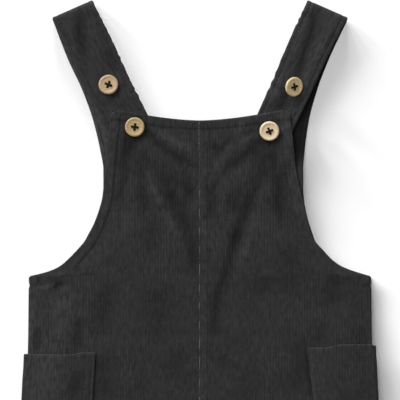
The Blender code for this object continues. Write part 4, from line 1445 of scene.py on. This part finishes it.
def stitches(lines, length=STITCH, pitch=STITCH_PITCH, thread=THREAD, uneven=0.15, sunk=0.0, seed=5):
    """Points and faces of all stitches on some lines, each a path with its normals; some sit sunk."""
    along, aside, up, faces = stitch_template()
    chance = np.random.default_rng(seed)
    all_points, all_faces, count = [], [], 0
    for path, normals in lines:
        place, direction, normal = resample(path, normals, pitch)
        sideways = np.cross(normal, direction)
        sideways /= np.linalg.norm(sideways, axis=1, keepdims=True)
        normal = np.cross(direction, sideways)
        drift = chance.normal(0, DRIFT, (len(place), 1))
        place = place - normal * sunk * (chance.uniform(0, 1, (len(place), 1)) < SUNK_SHARE)
        size = length * chance.uniform(1.05 - 1.4 * uneven, 1.05 + 0.4 * uneven, (len(place), 1, 1))
        points = (place[:, None] + sideways[:, None] * drift[:, None]
                  + direction[:, None] * along[None, :, None] * size
                  + sideways[:, None] * aside[None, :, None] * thread
                  + normal[:, None] * up[None, :, None] * thread)
        shift = np.arange(len(place))[:, None, None] * len(along) + count
        all_points.append(points.reshape(-1, 3))
        all_faces.append((faces[None] + shift).reshape(-1, 3))
        count += points.shape[0] * points.shape[1]
    return np.concatenate(all_points), np.concatenate(all_faces)


def add_stitches(name, lines, material=seam_thread, **sizes):
    """One joined mesh of stitches. None of them dips below the floor."""
    points, faces = stitches(lines, **sizes)
    points[:, 2] = np.maximum(points[:, 2], 0.0)
    obj = add_piece(name, fill_mesh(name, points, faces), material)
    print(f"{name}: {len(faces)} triangles")
    return obj


# %% Lines of stitches on the front


def front_path(side, across, down, sink=0.1):
    """A path on the front and its normals, from slopes of the height half a millimetre either way."""
    height = front_face(side, across, down) - sink
    slope_x = front_face(side, across + 0.5, down) - front_face(side, across - 0.5, down)
    slope_d = front_face(side, across, down + 0.5) - front_face(side, across, down - 0.5)
    path = to_space(side, across, sag_top(across, down), height)
    normals = np.stack((-SIDES[side] * slope_x, slope_d, np.ones_like(height)), axis=1)
    return path, normals / np.linalg.norm(normals, axis=1, keepdims=True)


def hem_line(side):
    """Points one hem's width inside the outline, square to it, beside the bib and along the armhole."""
    down = np.linspace(BIB_TOP + 3.0, UNDERARM + 6.0, 160)
    outline = np.stack((outer_edge(side, down), down), axis=1)
    tangent = np.gradient(outline, axis=0)
    tangent /= np.linalg.norm(tangent, axis=1, keepdims=True)
    inside = outline + HEM * np.stack((-tangent[:, 1], tangent[:, 0]), axis=1)
    keep = (inside[:, 1] > BIB_TOP + HEM) & (inside[:, 1] < ARMHOLE_END)
    return inside[keep, 0], inside[keep, 1]


# A row of dark stitches holds the felled strip. The seam's own row is pale and long lower down, its
# pale thread standing partly for a painted highlight along the seam's raised edge.
SEAM_ROW = 0.75         # the seam's own row lies this far to its right, give or take
SEAM_WANDER = 0.4
PALE_ROW_FROM = 160.0       # from this far down it is pale and long
LEG_ROW = np.array(600.0)       # about where the leg hem is stitched, for the ends of its row
SHORT = {"length": 4.8, "pitch": 6.6, "thread": 0.32, "uneven": 0.5, "sunk": 0.35}
LONG = {"length": 12.5, "pitch": 16.0, "thread": 0.46, "uneven": 0.25, "sunk": 0.15}
for side in SIDES:
    top_across = np.linspace(outer_edge(side, BIB_TOP + HEM) - 2.5, 0.5, 90)
    lines = [
        front_path(side, *hem_line(side)),
        front_path(side, top_across, np.full_like(top_across, BIB_TOP + HEM)),
    ]
    seam_down = np.linspace(FELL_TOP, CROTCH - 2.0, 200)
    if side == "right":
        lines.append(front_path(side, np.full_like(seam_down, FELL_STITCH - SEAM_SHIFT), seam_down))
        wander = SEAM_WANDER * soft_noise(seam_down, 0.0 * seam_down, 60.0, 29)
        path, normals = front_path(side, SEAM_ROW - SEAM_SHIFT + wander, seam_down)
        for name, thread, part, sizes in (
                ("topstitch_centre_upper", pocket_thread, seam_down < PALE_ROW_FROM, SHORT),
                ("topstitch_centre", bright_thread, seam_down >= PALE_ROW_FROM, LONG)):
            add_stitches(name, [(path[part], normals[part])], thread, **sizes)
    leg_across = np.linspace(inner_edge(side, LEG_ROW) + 2, outer_edge(side, LEG_ROW) - 2, 60)
    lines.append(front_path(side, leg_across, np.full_like(leg_across, LEG_END - LEG_HEM)))
    add_stitches(f"topstitch_front_{side}", lines, uneven=0.4)

# %% Lines of stitches on the straps and the pockets


def leaf_path(leaf, place, rows):
    """A path down the grid column that lies nearest to a place across the leaf, halfway along it."""
    index = int(np.argmin(np.abs(leaf.across[len(leaf.across) // 2] - place)))
    return leaf.face[rows, index], leaf.normal[rows, index]


for side, strap in straps.items():
    sewn_rows = slice(6, len(strap.face) - 20)
    lines = [leaf_path(strap, place, sewn_rows) for place in (STRAP_WIDTH - STRAP_STITCH, STRAP_STITCH)]
    add_stitches(f"topstitch_strap_{side}", lines, uneven=0.4)

for side, pocket in pockets.items():
    sewn_rows = slice(3, len(pocket.face) - 3)
    lines = [leaf_path(pocket, place, sewn_rows) for place in POCKET_STITCHES]
    add_stitches(f"topstitch_pocket_{side}", lines, pocket_thread, uneven=0.55)

# %% [markdown]
# ## Wooden buttons
# A button is turned on a lathe: a flat back, a rounded rim and a shallow dish, then four drilled
# holes. Two crossed bars of dark thread hold it. Each one sits on the cloth at its own lean and turn,
# as the solids in the frame do.

# %% Places, sizes and woods of the buttons
Button = namedtuple("Button", "node side across down under lean_x lean_y turn")
BUTTONS = [
    Button("button_upper_left", "left", 79.5, 73.8, 6.1, 0, 0, 23),
    Button("button_upper_right", "right", 80.8, 75.6, 9.8, 11, 29, 62),
    Button("button_lower_left", "left", 56.6, 110.7, 6.8, 0, 0, 38),
    Button("button_lower_right", "right", 60.2, 114.0, 8.0, 9, 0, 66),
]
BUTTON_FACETS = 72
DRILL_FACETS = 20
HOLE_RADIUS = 1.15
HOLE_OFFSET = 2.4
STRAND = 0.46           # radius of a strand of thread, and the step from one to the next
STRAND_STEP = 0.48
THREAD_HEIGHT = 2.5
BUTTON_PROFILE = np.array([
    (0.0, 0.0), (6.6, 0.0), (7.3, 0.08), (7.9, 0.35), (8.35, 0.8), (8.5, 1.35), (8.45, 1.85),
    (8.25, 2.3), (7.95, 2.6), (7.55, 2.78), (7.1, 2.8), (6.6, 2.7), (6.1, 2.52), (5.5, 2.36),
    (4.6, 2.26), (0.0, 2.22),
])
WOODS = {
    "button_upper_left": ((0.60, 0.44, 0.26, 1), (0.28, 0.18, 0.10, 1)),
    "button_upper_right": ((0.80, 0.61, 0.33, 1), (0.47, 0.35, 0.16, 1)),
    "button_lower_left": ((0.48, 0.36, 0.165, 1), (0.31, 0.21, 0.08, 1)),
    "button_lower_right": ((0.84, 0.68, 0.44, 1), (0.60, 0.46, 0.28, 1)),
}
button_radius, button_height = BUTTON_PROFILE.max(axis=0)
print(f"a button is {2 * button_radius:.0f} mm across and {button_height:.1f} mm thick")

# %% Turn and drill a button


def turned(profile, facets):
    """Turned solid: each profile point swept round Z; the two points on the axis close its ends."""
    angles = np.linspace(0, 2 * math.pi, facets, endpoint=False)
    rings = profile[1:-1]
    points = np.stack((rings[:, :1] * np.cos(angles), rings[:, :1] * np.sin(angles),
                       np.repeat(rings[:, 1:], facets, axis=1)), axis=-1).reshape(-1, 3)
    ends = np.array([(0, 0, profile[0, 1]), (0, 0, profile[-1, 1])])
    ids = np.arange(len(rings) * facets).reshape(len(rings), facets)
    low, high = np.full(facets, len(points)), np.full(facets, len(points) + 1)
    faces = np.concatenate((
        ring_faces(ids),
        np.stack((np.roll(ids[0], -1), ids[0], low), axis=1),
        np.stack((ids[-1], np.roll(ids[-1], -1), high), axis=1)))
    return np.concatenate((points, ends)), faces


def drilled_button():
    """Turned body with four holes cut by a Boolean, returned as a mesh."""
    points, faces = turned(BUTTON_PROFILE, BUTTON_FACETS)
    body = bpy.data.objects.new("button_body", fill_mesh("button_body", points, faces))
    scene.collection.objects.link(body)
    drill_profile = np.array([(0, -1.0), (HOLE_RADIUS, -1.0), (HOLE_RADIUS, 4.0), (0, 4.0)])
    drill_points, drill_faces = turned(drill_profile, DRILL_FACETS)
    drills = []
    for degrees in (45, 135, 225, 315):
        angle = math.radians(degrees)
        shift = np.array((HOLE_OFFSET * math.cos(angle), HOLE_OFFSET * math.sin(angle), 0.0))
        drill = bpy.data.objects.new("drill", fill_mesh("drill", drill_points + shift, drill_faces))
        scene.collection.objects.link(drill)
        cut = body.modifiers.new("hole", "BOOLEAN")
        cut.operation = "DIFFERENCE"
        cut.object = drill
        drills.append(drill)
    bpy.context.view_layer.update()
    mesh = bpy.data.meshes.new_from_object(body.evaluated_get(bpy.context.evaluated_depsgraph_get()))
    for obj in drills + [body]:
        bpy.data.objects.remove(obj, do_unlink=True)
    mesh.materials.clear()
    return mesh


# %% Lean a button, and sew it on


def rotation(row):
    """Rotation matrix of a button: turned in its face, then leant about the garment's two axes."""
    z, x, y = (math.radians(angle) for angle in (row.turn, row.lean_x, row.lean_y))
    about_z = np.array([(math.cos(z), -math.sin(z), 0), (math.sin(z), math.cos(z), 0), (0, 0, 1)])
    about_x = np.array([(1, 0, 0), (0, math.cos(x), -math.sin(x)), (0, math.sin(x), math.cos(x))])
    about_y = np.array([(math.cos(y), 0, math.sin(y)), (0, 1, 0), (-math.sin(y), 0, math.cos(y))])
    return about_y @ about_x @ about_z


def thread_cross():
    """Paths of two crossed bars of three strands each, from hole to hole over the dish."""
    paths = []
    for degrees in (45, 135):
        angle = math.radians(degrees)
        ahead = np.array((math.cos(angle), math.sin(angle), 0.0))
        aside = np.array((-math.sin(angle), math.cos(angle), 0.0))
        t = np.linspace(-1, 1, 21)[:, None]
        for offset in (-STRAND_STEP, 0.0, STRAND_STEP):
            height = THREAD_HEIGHT + 0.3 * (degrees == 135) - 4.5 * np.clip(np.abs(t) - 0.78, 0, 1) ** 1.3
            paths.append(ahead * t * (HOLE_OFFSET + 0.75) + aside * offset + np.array((0, 0, 1.0)) * height)
    return paths


def tube(path, radius, sides=8):
    """Tube round a path: a circle in the plane square to its direction at each point, ends closed."""
    ahead = np.gradient(path, axis=0)
    ahead /= np.linalg.norm(ahead, axis=1, keepdims=True)
    up = np.array((0.0, 0.0, 1.0))
    aside = np.cross(up, ahead)
    aside /= np.linalg.norm(aside, axis=1, keepdims=True)
    above = np.cross(ahead, aside)
    turn = np.linspace(0, 2 * math.pi, sides, endpoint=False)
    points = (path[:, None] + radius * (np.cos(turn)[None, :, None] * aside[:, None]
                                        + np.sin(turn)[None, :, None] * above[:, None])).reshape(-1, 3)
    return points, rod_faces(len(path), sides)


# %% Place the four buttons
blank = drilled_button()
blank_points = np.zeros(len(blank.vertices) * 3, np.float32)
blank.vertices.foreach_get("co", blank_points)
blank_points = blank_points.reshape(-1, 3)
for row in BUTTONS:
    turn = rotation(row)
    place = np.array((SIDES[row.side] * row.across, SHOULDER - row.down, row.under)) * MM
    mesh = blank.copy()
    mesh.name = f"wooden_{row.node}"
    mesh.vertices.foreach_set("co", (blank_points @ turn.T + place).astype(np.float32).ravel())
    mesh.update()
    light, dark = WOODS[row.node]
    wood = make_wood(f"wood_{row.node}", light, dark, row.turn * 2.0 + 25.0, (row.across * 0.01, 0.0, 0.0))
    piece = add_piece(f"wooden_{row.node}", mesh, wood)
    piece.data.set_sharp_from_angle(angle=math.radians(40.0))
    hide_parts(row.node)
    parts, strands, count = [], [], 0
    for path in thread_cross():
        points, faces = tube(path, STRAND)
        parts.append(points)
        strands.append(faces + count)
        count += len(points)
    points = np.concatenate(parts) @ turn.T + place / MM
    add_piece(f"thread_{row.node}", fill_mesh("thread", points, np.concatenate(strands)), button_thread)
print(f"{len(BUTTONS)} buttons, {len(blank.polygons)} faces each")

# %% [markdown]
# ## Buttonholes
# The lower buttons come up through slits in the bib. A buttonhole is edged with close stitches laid
# square to the slit, and its lower end shows just below the button.

# %% Buttonholes
SLIT_HALF = 10.0
SLIT_BELOW = 1.2        # the slit's middle lies this far below the button's
SLIT_STITCHES = 24      # on each side of the slit
STITCH_REACH = (0.25, 1.15)


def buttonhole_lines(row):
    """Short crossways stitches along the two sides of a slit, down one and back up the other."""
    down_one = np.linspace(-SLIT_HALF, SLIT_HALF, SLIT_STITCHES)
    spots = np.concatenate((down_one, down_one[::-1]))
    side_sign = np.repeat((-1.0, 1.0), SLIT_STITCHES)
    lines = []
    for spot, sign in zip(spots, side_sign):
        across = row.across + sign * np.linspace(*STITCH_REACH, 4)
        down = np.full(4, row.down + SLIT_BELOW + spot)
        lines.append(front_path(row.side, across, down, sink=0.0))
    return lines


for row in BUTTONS:
    if "lower" in row.node:
        name = f"buttonhole_{row.side}"
        add_stitches(name, buttonhole_lines(row), pitch=1.2, length=1.3, thread=0.36)

# %% [markdown]
# ## The cut of each cloth
# Each panel, strap and pocket is a sheet cut from flat cloth. A panel's flat area is worked out from
# the pattern, widths summed down the length, but it is not kept.

# %% Flat sizes


def cut_area(side, outer, top):
    """Area between the inner and the outer edge, in square metres: the mean width times the length."""
    down = np.linspace(top, LEG_END, 800)
    width = outer(side, down) - inner_edge(side, down)
    return float(width.mean() * (LEG_END - top)) * MM * MM


for side in SIDES:
    widest = float((outer_edge(side, np.array([CROTCH])) + 1.0)[0]) * MM
    cut_area(side, outer_edge, BIB_TOP)
    cut_area(side, back_outer_edge, BACK_TOP)

# %% Print the box of the frame's solids, and finish
print("box of the solids:", [round(v, 4) for v in (*cad_low, *cad_high)])
